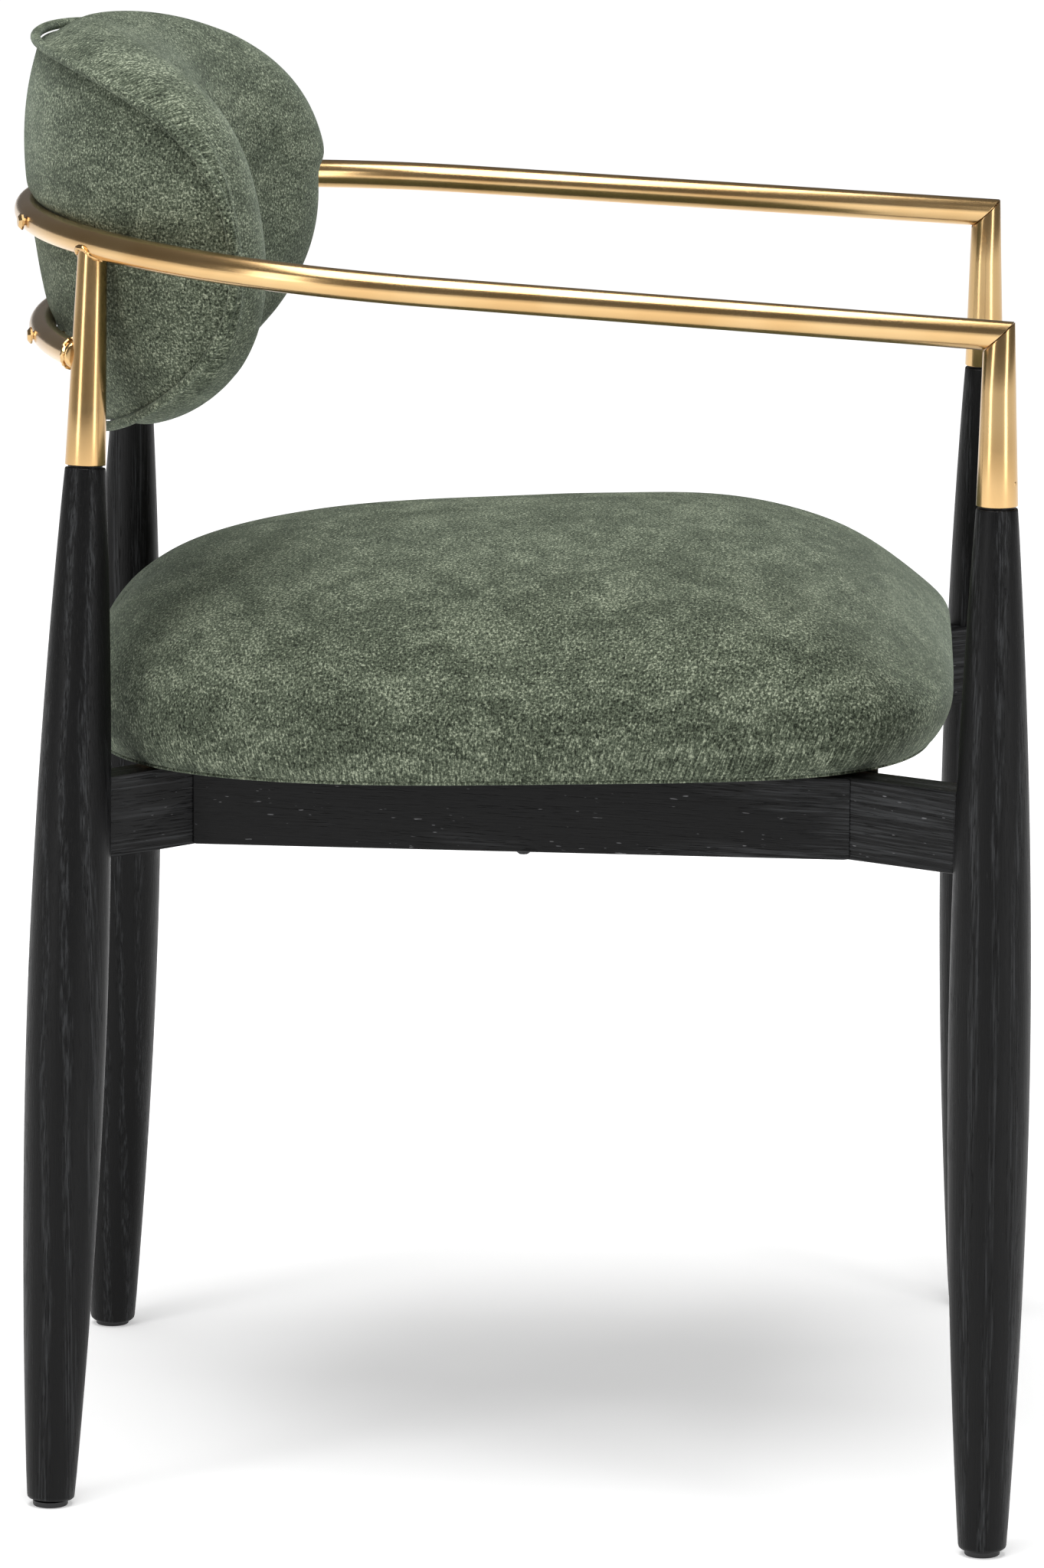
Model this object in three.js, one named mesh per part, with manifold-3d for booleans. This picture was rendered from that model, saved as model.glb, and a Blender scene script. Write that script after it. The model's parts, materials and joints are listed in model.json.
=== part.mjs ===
// A dining armchair: four turned ash legs, a brass arm that is one bent tube, a low ash seat frame, a domed
// upholstered seat and a curved upholstered back that hangs inside the tube's bend.
// Millimetres. The sitter faces -Y, +X is the sitter's left and +Z is up. The origin is on the floor, under
// the middle of the chair.
import * as THREE from "three";
import { mergeVertices } from "three/addons/utils/BufferGeometryUtils.js";
import Module from "manifold-3d";

const wasm = await Module();
wasm.setup();

const GAP = 0.3; // clearance between faces that touch

// Legs: each axis runs from a foot on the floor to the centre of the arm tube.
const FRONT_FOOT_X = 271;
const FRONT_FOOT_Y = -257.8;
const FRONT_TOP_X = 261;
const REAR_FOOT_X = 199;
const REAR_FOOT_Y = 245.5;
const REAR_TOP_X = 145;
const BELLY_Z = 270; // height of a leg's thickest point
const BELLY_R = 21.7;
const FOOT_R = 13;
const FOOT_EDGE_R = 3;
const NECK_R = 11; // where a leg meets its sleeve
const GLIDE_R = 9.5;
const GLIDE_H = 3;

// Brass arm, its sleeves and the lower back tube.
const ARM_Z = 652; // centre of the tube at its front corners
const ARM_RISE = 0.061; // climb of the arm towards the rear, as a slope
const BEND_R = 247;
const BEND_Y = 24; // centre of the bend behind the back
const TUBE_R = 8;
const TUBE_WALL = 1.5;
const FRONT_SLEEVE_H = 89; // from the sleeve's lower end to the centre of the arm tube
const SLEEVE_WALL = 1.4;
const SHADOW_GAP = 1.2; // dark groove between a sleeve and its leg
const TENON_H = 44; // turned end of the leg inside the sleeve
const LOWER_TUBE_R = 7.5;
const LOWER_TUBE_DROP = 60; // below the arm tube, at the rear posts
const LOWER_TUBE_BOW = 31; // how far it bends back between the posts
const LOWER_TUBE_SETBACK = 6; // its ends sit behind the posts' centres
const PIN_R = 1.6;
const PIN_H = 12; // above the sleeve's lower end
const PIN_L = 6;

// Seat frame: four rails whose ends butt on four diagonal corner boards, which run out to the legs.
const FRAME_Z = 402.8; // top of the frame at Y = 0
const FRAME_FALL = 0.0342; // fall of the frame towards the rear, as a slope
const BOARD_H = 44;
const BOARD_T = 22;
const CORNER_ANGLE = 51; // degrees, from the X axis
const FRONT_REACH = 86; // from a leg's axis to the joint between corner board and rail
const REAR_REACH = 69.5;
const CORNER_END = 4; // how far a corner board runs on past the rails' inner faces
const STUD_R = 4;
const STUD_L = 60;
const STUD_DROP = 13; // below the top of the frame
const STUD_BITE = 8; // past the leg's axis
const NUT_R = 7.2;
const NUT_H = 6.5;
const POCKET_R = 8.2;
const DOWEL_R = 5;
const DOWEL_L = 36;
const DOWEL_DROP = 33;
const DOWEL_BITE = 2;

// Seat cushion: its plan is a squared oval that narrows to the rear, set out from the legs.
const SEAT_FRONT_SET = 15; // front edge, behind the front legs' axes
const SEAT_REAR_SET = 7; // rear edge, behind the rear legs' axes
const SEAT_SIDE_SET = 39; // sides at mid depth, inside the front legs' axes
const SEAT_TAPER = 0.07; // narrowing of each side towards the rear, as a slope
const SEAT_FRONT_SQUARE = 5.2; // power of the oval: 2 is round, and more is squarer
const SEAT_REAR_SQUARE = 2.9;
const SEAT_DOME_SQUARE = 2.35;
const SEAT_H = 110; // crown of the cushion above the frame
const SEAT_CROWN_SET = 34; // crown, behind the middle of the widest line
const SEAT_WIDEST_H = 30;
const SEAT_TUCK = 0.05; // share by which the lower edge is drawn in
const SEAT_BOARD_H = 12;
const DUST_H = 0.8;
const DUST_INSET = 6; // inside the edge of the seat board
const FABRIC = 1.4;
const WADDING = 0.9; // loose layer between foam and fabric

// Back cushion: an oval bent round the bend's axis. Its heights are measured from its rear seam.
const BACK_HALF_ANGLE = 60.4; // degrees
const BACK_HALF_H = 112;
const BACK_LEAN = 9; // degrees
const BACK_DROP = 8; // centre of the back below the arm tube
const BACK_CLEARANCE = 2.5; // between the rear panel and the arm tube
const BACK_DOME = 12; // bulge of the rear panel
const BACK_DEPTH = 72; // from the rear seam to the front face
const NOSE_DEPTH = 24; // from the rear seam to the widest line
const SEAM_SPREAD = 0.94; // rear seam, as a share of the widest line
const BACK_BOARD_T = 9;
const BACK_BOARD_SPREAD = 0.8;
const BACK_BOARD_SET = 2; // rear face of the board, forward of the seam
const REAR_PAD_SPREAD = 0.88; // edge of the thin pad behind the board
const PIPING_R = 2.4;
const PIPING_RISE = 1.5; // centre of the piping, outward of the seam

const SCREW_R = 2.2;
const SCREW_HEAD_R = 4.5;
const SCREW_HEAD_H = 2.6;
const SEAT_SCREW_BITE = 9; // into the seat board
const BACK_SCREW_BITE = 6; // into the back board
const BACK_SCREW_ANGLE = 17; // degrees either side of the middle

const UP = new THREE.Vector3(0, 0, 1);
const radians = THREE.MathUtils.degToRad;

// ---- Materials
const FINISHES = {
  ash: { color: 0x1b1b1d, roughness: 0.42, metalness: 0 },
  brass: { color: 0xc79a55, roughness: 0.28, metalness: 1 },
  steel: { color: 0x8d9094, roughness: 0.35, metalness: 1 },
  beech: { color: 0xc9a577, roughness: 0.7, metalness: 0 },
  plywood: { color: 0xb89468, roughness: 0.75, metalness: 0 },
  foam: { color: 0xd9d2b8, roughness: 0.95, metalness: 0 },
  fabric: { color: 0x4c5b4a, roughness: 0.9, metalness: 0 },
  lining: { color: 0x141414, roughness: 0.95, metalness: 0 },
  nylon: { color: 0x0d0d0e, roughness: 0.55, metalness: 0 },
};

function piece(name, finish, geometry) {
  const made = new THREE.Mesh(geometry, new THREE.MeshStandardMaterial(FINISHES[finish]));
  made.name = name;
  return made;
}

// The piece on the sitter's left, and its mirror image on the right.
function pair(name, finish, geometry) {
  const left = piece(name + "_left", finish, geometry);
  const right = piece(name + "_right", finish, geometry);
  right.scale.x = -1;
  return [left, right];
}

function assembly(name, ...pieces) {
  const group = new THREE.Group();
  group.name = name;
  return group.add(...pieces.flat());
}

// ---- Solid modelling
function solid(geometry) {
  const bare = new THREE.BufferGeometry().setAttribute("position", geometry.attributes.position);
  bare.setIndex(geometry.index);
  const merged = mergeVertices(bare, 1e-4);
  return new wasm.Manifold(
    new wasm.Mesh({
      numProp: 3,
      vertProperties: merged.attributes.position.array,
      triVerts: new Uint32Array(merged.index.array),
    }),
  );
}

function surface(body) {
  const mesh = body.getMesh();
  const made = new THREE.BufferGeometry();
  made.setAttribute("position", new THREE.BufferAttribute(mesh.vertProperties, 3));
  made.setIndex(new THREE.BufferAttribute(mesh.triVerts, 1));
  made.computeVertexNormals();
  return made;
}

const cut = (geometry, ...tools) =>
  surface(tools.reduce((left, tool) => left.subtract(solid(tool)), solid(geometry)));

// A profile of [radius, height] points turned about the Z axis.
function turned(profile, segments) {
  const points = profile.map(([r, z]) => new THREE.Vector2(r, z));
  return new THREE.LatheGeometry(points, segments).rotateX(Math.PI / 2);
}

// Moves a geometry from the Z axis to the line that starts at a point and runs along a direction.
function along(geometry, start, direction) {
  const turn = new THREE.Quaternion().setFromUnitVectors(UP, direction.clone().normalize());
  return geometry.applyQuaternion(turn).translate(start.x, start.y, start.z);
}

function rod(radius, start, end, segments = 12) {
  const length = start.distanceTo(end);
  const profile = [[0, 0], [radius, 0], [radius, length], [0, length]];
  return along(turned(profile, segments), start, end.clone().sub(start));
}

function swept(curve, outer, inner, steps) {
  const section = new THREE.Shape().absarc(0, 0, outer, 0, 2 * Math.PI);
  if (inner) section.holes.push(new THREE.Path().absarc(0, 0, inner, 0, 2 * Math.PI, true));
  return new THREE.ExtrudeGeometry(section, { extrudePath: curve, steps, curveSegments: 6 });
}

// A large block whose one face passes through a point and whose body lies on the side of the normal.
function halfSpace(point, normal) {
  const size = 160;
  return along(new THREE.BoxGeometry(size, size, size).translate(0, 0, size / 2), point, normal);
}

// A profile of [share, height] points carried round an outline: place(t, share, height) gives each point.
function ringed(profile, segments, place) {
  const points = profile.map(([share, height]) => new THREE.Vector2(share, height));
  const made = new THREE.LatheGeometry(points, segments);
  const position = made.attributes.position;
  for (let k = 0; k < position.count; k++) {
    const turn = Math.floor(k / profile.length) % segments;
    const [share, height] = profile[k % profile.length];
    const p = place(turn / segments, share, height);
    position.setXYZ(k, p.x, p.y, p.z);
  }
  // Faces that run inwards are split along their other diagonal, so that both sides of a layer bend alike.
  const corners = made.index.array;
  for (let q = 0; q < corners.length; q += 6) {
    const [a, b, d, c] = corners.slice(q, q + 4);
    if (profile[d % profile.length][0] < profile[a % profile.length][0]) corners.set([a, b, c, a, c, d], q);
  }
  return made;
}

// Quarter of an oval from [1, from] to [0, to], square-shouldered as the powers grow.
function shoulder(from, to, sharePower, heightPower, steps) {
  return Array.from({ length: steps }, (_, k) => {
    const angle = (Math.PI / 2) * ((k + 1) / steps);
    const share = k + 1 === steps ? 0 : Math.cos(angle) ** (2 / sharePower);
    return [share, from + (to - from) * Math.sin(angle) ** (2 / heightPower)];
  });
}

// ---- Axes of the legs, on the sitter's left
function legAxis(footX, footY, topX, topY) {
  const foot = new THREE.Vector3(footX, footY, 0);
  const top = new THREE.Vector3(topX, topY, armZ(topY));
  const direction = top.clone().sub(foot).normalize();
  const at = (z) => foot.clone().addScaledVector(direction, z / direction.z);
  return { foot, top, direction, at, length: foot.distanceTo(top) };
}

function armZ(y) {
  return ARM_Z + ARM_RISE * (y - FRONT_FOOT_Y);
}

const REAR_TOP_Y = BEND_Y + Math.sqrt(BEND_R ** 2 - REAR_TOP_X ** 2);
const frontAxis = legAxis(FRONT_FOOT_X, FRONT_FOOT_Y, FRONT_TOP_X, FRONT_FOOT_Y);
const rearAxis = legAxis(REAR_FOOT_X, REAR_FOOT_Y, REAR_TOP_X, REAR_TOP_Y);

// ---- Arm tube: straight from each front corner to the bend, and round behind the back
class ArmCurve extends THREE.Curve {
  constructor(overrun) {
    super();
    const reach = Math.hypot(FRONT_TOP_X, BEND_Y - FRONT_FOOT_Y);
    const bearing = Math.atan2(FRONT_FOOT_Y - BEND_Y, FRONT_TOP_X);
    this.touch = bearing + Math.acos(BEND_R / reach); // where the straight meets the bend
    this.straight = Math.sqrt(reach ** 2 - BEND_R ** 2) + overrun;
    this.sweep = Math.PI - 2 * this.touch;
    this.whole = 2 * this.straight + BEND_R * this.sweep;
  }
  getPoint(t, target = new THREE.Vector3()) {
    const past = t * this.whole - this.straight;
    const angle = this.touch + THREE.MathUtils.clamp(past / BEND_R, 0, this.sweep);
    const spill = past < 0 ? past : Math.max(0, past - BEND_R * this.sweep);
    const x = BEND_R * Math.cos(angle) - spill * Math.sin(angle);
    const y = BEND_Y + BEND_R * Math.sin(angle) + spill * Math.cos(angle);
    return target.set(x, y, armZ(y));
  }
}

const CORNER_OVERRUN = 3 * TUBE_R;
const ARM_STEPS = 40;
const armCurve = new ArmCurve(CORNER_OVERRUN);
const armOutside = (radius) => swept(armCurve, radius, 0, ARM_STEPS);

// The mitre bisects the angle between the arm, which runs forward, and the sleeve, which runs up.
const mitreNormal = armCurve.getTangent(0).negate().sub(frontAxis.direction).normalize();

// Everything on one side of a front corner's mitre: ahead of it for 1, behind it for -1.
function pastMitre(ahead, side = 1) {
  const normal = mitreNormal.clone().multiplyScalar(ahead);
  const point = frontAxis.top.clone().addScaledVector(normal, -GAP / 2);
  const facing = new THREE.Vector3(side, 1, 1);
  return halfSpace(point.multiply(facing), normal.multiply(facing));
}

// ---- Lower back tube: a shallow arc between the rear posts
const lowerEnd = rearAxis.at(rearAxis.top.z - LOWER_TUBE_DROP);
lowerEnd.y += LOWER_TUBE_SETBACK;
const LOWER_BEND_R = (lowerEnd.x ** 2 + LOWER_TUBE_BOW ** 2) / (2 * LOWER_TUBE_BOW);
class LowerCurve extends THREE.Curve {
  getPoint(t, target = new THREE.Vector3()) {
    const half = Math.asin(lowerEnd.x / LOWER_BEND_R);
    const angle = half * (1 - 2 * t);
    const y = lowerEnd.y + LOWER_TUBE_BOW + LOWER_BEND_R * (Math.cos(angle) - 1);
    return target.set(LOWER_BEND_R * Math.sin(angle), y, lowerEnd.z);
  }
}
const lowerCurve = new LowerCurve();

// ---- Sleeves
function sleeveShape(axis, height, topR) {
  const bottom = axis.length - height / axis.direction.z;
  const outer = (s) => THREE.MathUtils.mapLinear(s, bottom, axis.length, NECK_R, topR);
  return { bottom, outer, inner: (s) => outer(s) - SLEEVE_WALL };
}

const SLEEVE_LOW_Z = frontAxis.top.z - FRONT_SLEEVE_H;
const frontSleeve = sleeveShape(frontAxis, FRONT_SLEEVE_H, TUBE_R + GAP);
const rearSleeve = sleeveShape(rearAxis, rearAxis.top.z - SLEEVE_LOW_Z, TUBE_R - GAP);

function sleeve(axis, shape, end, ...tools) {
  const { bottom, outer, inner } = shape;
  const profile = [
    [inner(bottom), bottom],
    [outer(bottom), bottom],
    [outer(end), end],
    [inner(end), end],
    [inner(bottom), bottom],
  ];
  return cut(along(turned(profile, LEG_SIDES), axis.foot, axis.direction), ...tools);
}

// ---- Legs
function legRadius(s, shoulderS) {
  if (s > BELLY_Z) return BELLY_R - (BELLY_R - NECK_R) * ((s - BELLY_Z) / (shoulderS - BELLY_Z)) ** 1.9;
  return BELLY_R - (BELLY_R - FOOT_R) * ((BELLY_Z - s) / BELLY_Z) ** 1.85;
}

const LEG_SIDES = 14;

function legProfile(shape) {
  const shoulderS = shape.bottom - SHADOW_GAP;
  const tenonTop = shape.bottom + TENON_H;
  const low = GLIDE_H;
  const profile = [[0, low - FOOT_EDGE_R / 2]];
  for (const angle of [0, 30, 60]) {
    const a = radians(angle);
    const r = legRadius(low, shoulderS) - FOOT_EDGE_R * (1 - Math.sin(a));
    profile.push([r, low - FOOT_EDGE_R / 2 + FOOT_EDGE_R * (1 - Math.cos(a))]);
  }
  const stations = 8;
  for (let k = 0; k <= stations; k++) {
    const s = THREE.MathUtils.lerp(low + FOOT_EDGE_R, shoulderS, k / stations);
    profile.push([legRadius(s, shoulderS), s]);
  }
  profile.push([shape.inner(shoulderS) - GAP, shoulderS]);
  profile.push([shape.inner(tenonTop) - GAP, tenonTop]);
  profile.push([0, tenonTop]);
  return profile;
}

function leg(axis, shape, ...tools) {
  const floor = halfSpace(new THREE.Vector3(axis.foot.x, axis.foot.y, GLIDE_H + GAP), UP.clone().negate());
  return cut(along(turned(legProfile(shape), LEG_SIDES), axis.foot, axis.direction), floor, ...tools);
}

function glide(axis) {
  const profile = [[0, 0], [GLIDE_R - 0.8, 0], [GLIDE_R, 0.8], [GLIDE_R, GLIDE_H], [0, GLIDE_H]];
  return turned(profile, 12).translate(axis.foot.x, axis.foot.y, 0);
}

// The pin that holds a sleeve on its tenon, facing along a level direction.
function sleevePin(axis, shape, bearing, play = 0) {
  const s = shape.bottom + PIN_H;
  const facing = new THREE.Vector3(Math.cos(radians(bearing)), Math.sin(radians(bearing)), 0);
  const head = axis.foot.clone().addScaledVector(axis.direction, s);
  const outer = head.clone().addScaledVector(facing, shape.outer(s) + GAP + play);
  const inner = head.clone().addScaledVector(facing, shape.outer(s) - PIN_L - play);
  return rod(PIN_R + play, inner, outer, 8);
}

// ---- Seat frame
const frameTop = (y) => FRAME_Z - FRAME_FALL * y;
const shear = new THREE.Matrix4().set(1, 0, 0, 0, 0, 1, 0, 0, 0, -FRAME_FALL, 1, FRAME_Z, 0, 0, 0, 1);

// A plate between two heights above the frame's top, which it follows.
function plate(outline, low, high) {
  const shape = new THREE.Shape(outline.map((p) => new THREE.Vector2(p.x, p.y)));
  return new THREE.ExtrudeGeometry(shape, { depth: high - low, bevelEnabled: false })
    .translate(0, 0, low)
    .applyMatrix4(shear);
}

const board = (outline) => plate(outline, -BOARD_H, 0);

// Where a line through one point crosses a line through another, in plan.
function crossing(p, d, q, e) {
  const t = ((q.x - p.x) * e.y - (q.y - p.y) * e.x) / (d.x * e.y - d.y * e.x);
  return new THREE.Vector2(p.x + d.x * t, p.y + d.y * t);
}

function cornerFrame(axis, forward, reach) {
  const root = axis.at(frameTop(axis.foot.y) - BOARD_H / 2);
  const leg = new THREE.Vector2(root.x, root.y);
  const angle = radians(CORNER_ANGLE);
  const inward = new THREE.Vector2(-Math.cos(angle), -forward * Math.sin(angle));
  const outward = new THREE.Vector2(Math.sin(angle), -forward * Math.cos(angle));
  const face = (side) => leg.clone().addScaledVector(outward, (side * BOARD_T) / 2);
  const joint = (side) => face(side).addScaledVector(inward, reach);
  const point = (along, side) => leg.clone().addScaledVector(inward, along).addScaledVector(outward, side);
  return { leg, inward, outward, face, joint, point };
}

const frontCorner = cornerFrame(frontAxis, -1, FRONT_REACH);
const rearCorner = cornerFrame(rearAxis, 1, REAR_REACH);

const sideRun = rearCorner.joint(1).sub(frontCorner.joint(1)).normalize();
const sideInward = new THREE.Vector2(-sideRun.y, sideRun.x);
const sideInner = frontCorner.joint(1).addScaledVector(sideInward, BOARD_T);
const ACROSS = new THREE.Vector2(1, 0);

// The face of a corner board that a rail butts on, moved out by the clearance.
const buttFace = (corner, side) => corner.face(side).addScaledVector(corner.outward, side * GAP);

const sideRail = board([
  crossing(frontCorner.joint(1), sideRun, buttFace(frontCorner, 1), frontCorner.inward),
  crossing(frontCorner.joint(1), sideRun, buttFace(rearCorner, 1), rearCorner.inward),
  crossing(sideInner, sideRun, buttFace(rearCorner, 1), rearCorner.inward),
  crossing(sideInner, sideRun, buttFace(frontCorner, 1), frontCorner.inward),
]);

function crossRail(corner, forward) {
  const outer = corner.joint(-1);
  const inner = outer.clone().add(new THREE.Vector2(0, -forward * BOARD_T));
  const half = [
    crossing(outer, ACROSS, buttFace(corner, -1), corner.inward),
    crossing(inner, ACROSS, buttFace(corner, -1), corner.inward),
  ];
  return board([...half, ...half.map((p) => new THREE.Vector2(-p.x, p.y)).reverse()]);
}

// Rails end against a corner board between its joint line and this distance along it.
function cornerLength(corner) {
  const innerSide = crossing(sideInner, sideRun, corner.face(1), corner.inward);
  return innerSide.distanceTo(corner.face(1)) + CORNER_END;
}

const lift = (corner, along, drop) => {
  const p = corner.point(along, 0);
  return new THREE.Vector3(p.x, p.y, frameTop(corner.leg.y) - drop);
};

function stud(corner, play = 0) {
  const start = lift(corner, -STUD_BITE - play, STUD_DROP);
  return rod(STUD_R + play, start, lift(corner, STUD_L - STUD_BITE + play, STUD_DROP));
}

function dowel(corner, play = 0) {
  const start = lift(corner, DOWEL_BITE - play, DOWEL_DROP);
  return rod(DOWEL_R + play, start, lift(corner, DOWEL_BITE + DOWEL_L + play, DOWEL_DROP));
}

const NUT_AT = STUD_L - STUD_BITE - NUT_H - 1;

function studNut(corner) {
  const nut = rod(NUT_R, lift(corner, NUT_AT, STUD_DROP), lift(corner, NUT_AT + NUT_H, STUD_DROP), 6);
  return cut(nut, stud(corner, GAP));
}

// Round pocket, open below, in which the nut is tightened.
function nutPocket(corner) {
  const centre = lift(corner, NUT_AT + NUT_H / 2, STUD_DROP);
  const top = centre.clone().setZ(centre.z + NUT_R + GAP);
  const low = centre.clone().setZ(centre.z - 2 * BOARD_H);
  return rod(POCKET_R, low, top);
}

function cornerBoard(corner, axis, shape) {
  const length = cornerLength(corner);
  const half = BOARD_T / 2;
  const end = (along) => [corner.point(along, half), corner.point(along, -half)];
  const outline = [...end(0), ...end(length).reverse()];
  const legRoom = legProfile(shape).map(([r, s]) => [r ? r + GAP : 0, s]);
  const legTool = along(turned(legRoom, LEG_SIDES), axis.foot, axis.direction);
  return cut(board(outline), legTool, stud(corner, GAP), dowel(corner, GAP), nutPocket(corner));
}

// ---- Seat cushion
const OUTLINE_POINTS = 28;
const seatFrontY = frontCorner.leg.y + SEAT_FRONT_SET;
const seatRearY = rearCorner.leg.y + SEAT_REAR_SET;
const seatMidY = (seatFrontY + seatRearY) / 2;
const seatHalfDepth = (seatRearY - seatFrontY) / 2;
const seatHalfWidth = frontCorner.leg.x - SEAT_SIDE_SET;
const SEAT_SPAN = Math.min(seatHalfDepth, seatHalfWidth);

// A point of the cushion's widest line, drawn towards the crown by a share and made rounder on its way.
function seatEdge(t, share = 1) {
  const angle = 2 * Math.PI * t;
  const square = Math.sin(angle) < 0 ? SEAT_FRONT_SQUARE : SEAT_REAR_SQUARE;
  const power = 2 / THREE.MathUtils.lerp(2, square, share ** 6);
  const squared = (v) => Math.sign(v) * Math.abs(v) ** power;
  const y = seatHalfDepth * squared(Math.sin(angle));
  const x = (seatHalfWidth - SEAT_TAPER * y) * squared(Math.cos(angle));
  return new THREE.Vector2(share * x, seatMidY + SEAT_CROWN_SET * (1 - share ** 2) + share * y);
}

function seatOutline(share) {
  return Array.from({ length: OUTLINE_POINTS }, (_, k) => seatEdge(k / OUTLINE_POINTS, share));
}

function seatPlace(t, share, height) {
  const { x, y } = seatEdge(t, share);
  return { x, y, z: frameTop(y) + height };
}

// The cushion's outside, drawn in by a thickness of upholstery, from its lower edge up to the crown.
function seatProfile(low, inset) {
  const drawn = 1 - inset / SEAT_SPAN;
  const edge = [0, 0.35, 0.7].map((k) => {
    const height = THREE.MathUtils.lerp(low, SEAT_WIDEST_H, k);
    return [1 - SEAT_TUCK * (1 - height / SEAT_WIDEST_H) ** 2, height];
  });
  const dome = shoulder(SEAT_WIDEST_H, SEAT_H - inset, SEAT_DOME_SQUARE, SEAT_DOME_SQUARE, 7);
  return [...edge, [1, SEAT_WIDEST_H], ...dome].map(([share, height]) => [share * drawn, height]);
}

const DUST_LOW = GAP;
const SEAT_BOARD_LOW = DUST_LOW + DUST_H + GAP;
const FOAM_LOW = SEAT_BOARD_LOW + SEAT_BOARD_H + GAP;
const SEAT_BOARD_SHARE = 1 - SEAT_TUCK - (FABRIC + 4 * GAP) / SEAT_SPAN;
const DUST_SHARE = SEAT_BOARD_SHARE - DUST_INSET / SEAT_SPAN;
const foamProfile = seatProfile(FOAM_LOW, FABRIC + WADDING);
const coverProfile = [...seatProfile(SEAT_BOARD_LOW, FABRIC).reverse(), ...seatProfile(SEAT_BOARD_LOW, 0)];
const seatFoam = ringed([[0, FOAM_LOW], ...foamProfile], OUTLINE_POINTS, seatPlace);
const seatCover = ringed(coverProfile, OUTLINE_POINTS, seatPlace);

const seatBoard = plate(seatOutline(SEAT_BOARD_SHARE), SEAT_BOARD_LOW, SEAT_BOARD_LOW + SEAT_BOARD_H);
const dustCover = plate(seatOutline(DUST_SHARE), DUST_LOW, DUST_LOW + DUST_H);

// ---- Screws: each runs from the face that its head bears on, along a direction
function screwHole({ start, direction, length }) {
  const ends = [-SCREW_HEAD_H, length + GAP].map((s) => start.clone().addScaledVector(direction, s));
  return rod(SCREW_R + GAP, ...ends, 8);
}

function screw({ start, direction, length }) {
  const [low, high] = [-GAP - SCREW_HEAD_H, -GAP];
  const profile = [
    [0, low],
    [0.6 * SCREW_HEAD_R, low],
    [SCREW_HEAD_R, low + 0.6 * SCREW_HEAD_H],
    [SCREW_HEAD_R, high],
    [SCREW_R, high],
    [SCREW_R, length - SCREW_R],
    [0, length],
  ];
  return along(turned(profile, 8), start, direction);
}

function seatScrew(x, y) {
  const start = new THREE.Vector3(x, y, frameTop(y) - BOARD_H);
  return { start, direction: UP, length: BOARD_H + SEAT_BOARD_LOW + SEAT_SCREW_BITE };
}

const sideMiddle = frontCorner.joint(1).add(rearCorner.joint(1)).multiplyScalar(0.5);
sideMiddle.addScaledVector(sideInward, BOARD_T / 2);
const frontScrew = seatScrew(0, frontCorner.joint(-1).y + BOARD_T / 2);
const rearScrew = seatScrew(0, rearCorner.joint(-1).y - BOARD_T / 2);
const sideScrew = seatScrew(sideMiddle.x, sideMiddle.y);
const sideScrewRight = seatScrew(-sideMiddle.x, sideMiddle.y);
const seatScrewHoles = [frontScrew, rearScrew, sideScrew, sideScrewRight].map(screwHole);

// ---- Back cushion
const backRadius = BEND_R - TUBE_R - BACK_CLEARANCE - BACK_DOME;
const backFrame = new THREE.Matrix4().makeRotationX(-radians(BACK_LEAN));
backFrame.setPosition(0, BEND_Y + backRadius, armZ(BEND_Y + BEND_R) - BACK_DROP);

// Angle and height place a point on the cylinder of the rear seam, and depth moves it outwards.
function backPoint(angle, height, depth) {
  const r = backRadius + depth;
  const local = new THREE.Vector3(r * Math.sin(angle), r * Math.cos(angle) - backRadius, height);
  return local.applyMatrix4(backFrame);
}

function backPlace(t, share, depth) {
  const turn = 2 * Math.PI * t;
  const angle = share * radians(BACK_HALF_ANGLE) * Math.sin(turn);
  return backPoint(angle, share * BACK_HALF_H * Math.cos(turn), depth);
}

const BACK_STEPS = 24;
const BACK_RINGS = [0, 0.25, 0.5, 0.7]; // shares at which every layer of the back has a ring of points

// From the middle of the front face outwards, round the nose and back to the seam.
function backSkin(start, inset) {
  const front = [...BACK_RINGS, 0.82, 0.92, 0.98].map((share) => {
    const rise = (1 - share ** 6) ** 0.4;
    return [share, -NOSE_DEPTH - (BACK_DEPTH - inset - NOSE_DEPTH) * rise];
  });
  const nose = [0, 0.5, 1].map((k) => {
    const depth = THREE.MathUtils.lerp(-NOSE_DEPTH, start, k);
    return [1 - (1 - SEAM_SPREAD) * (1 + depth / NOSE_DEPTH) ** 2, depth];
  });
  return [...front, ...nose].map(([share, depth]) => [share - (inset / BACK_HALF_H) * share ** 6, depth]);
}

// A layer between two depths, each a function of the share, out to a share of its own.
function backLayer(low, high, spread) {
  const shares = [...BACK_RINGS, BACK_BOARD_SPREAD, REAR_PAD_SPREAD].filter((share) => share < spread - 0.02);
  shares.push(spread);
  const lower = shares.map((share) => [share, low(share)]);
  const upper = shares.map((share) => [share, high(share)]);
  return ringed([...lower, ...upper.reverse()], BACK_STEPS, backPlace);
}

const boardRear = -BACK_BOARD_SET;
const boardFront = boardRear - BACK_BOARD_T;
const rimDepth = -FABRIC - GAP - WADDING;
const recessSpread = BACK_BOARD_SPREAD + (2 * GAP) / BACK_HALF_H;
const domeDepth = (share) => BACK_DOME * (1 - (share / SEAM_SPREAD) ** 2.6);

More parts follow.
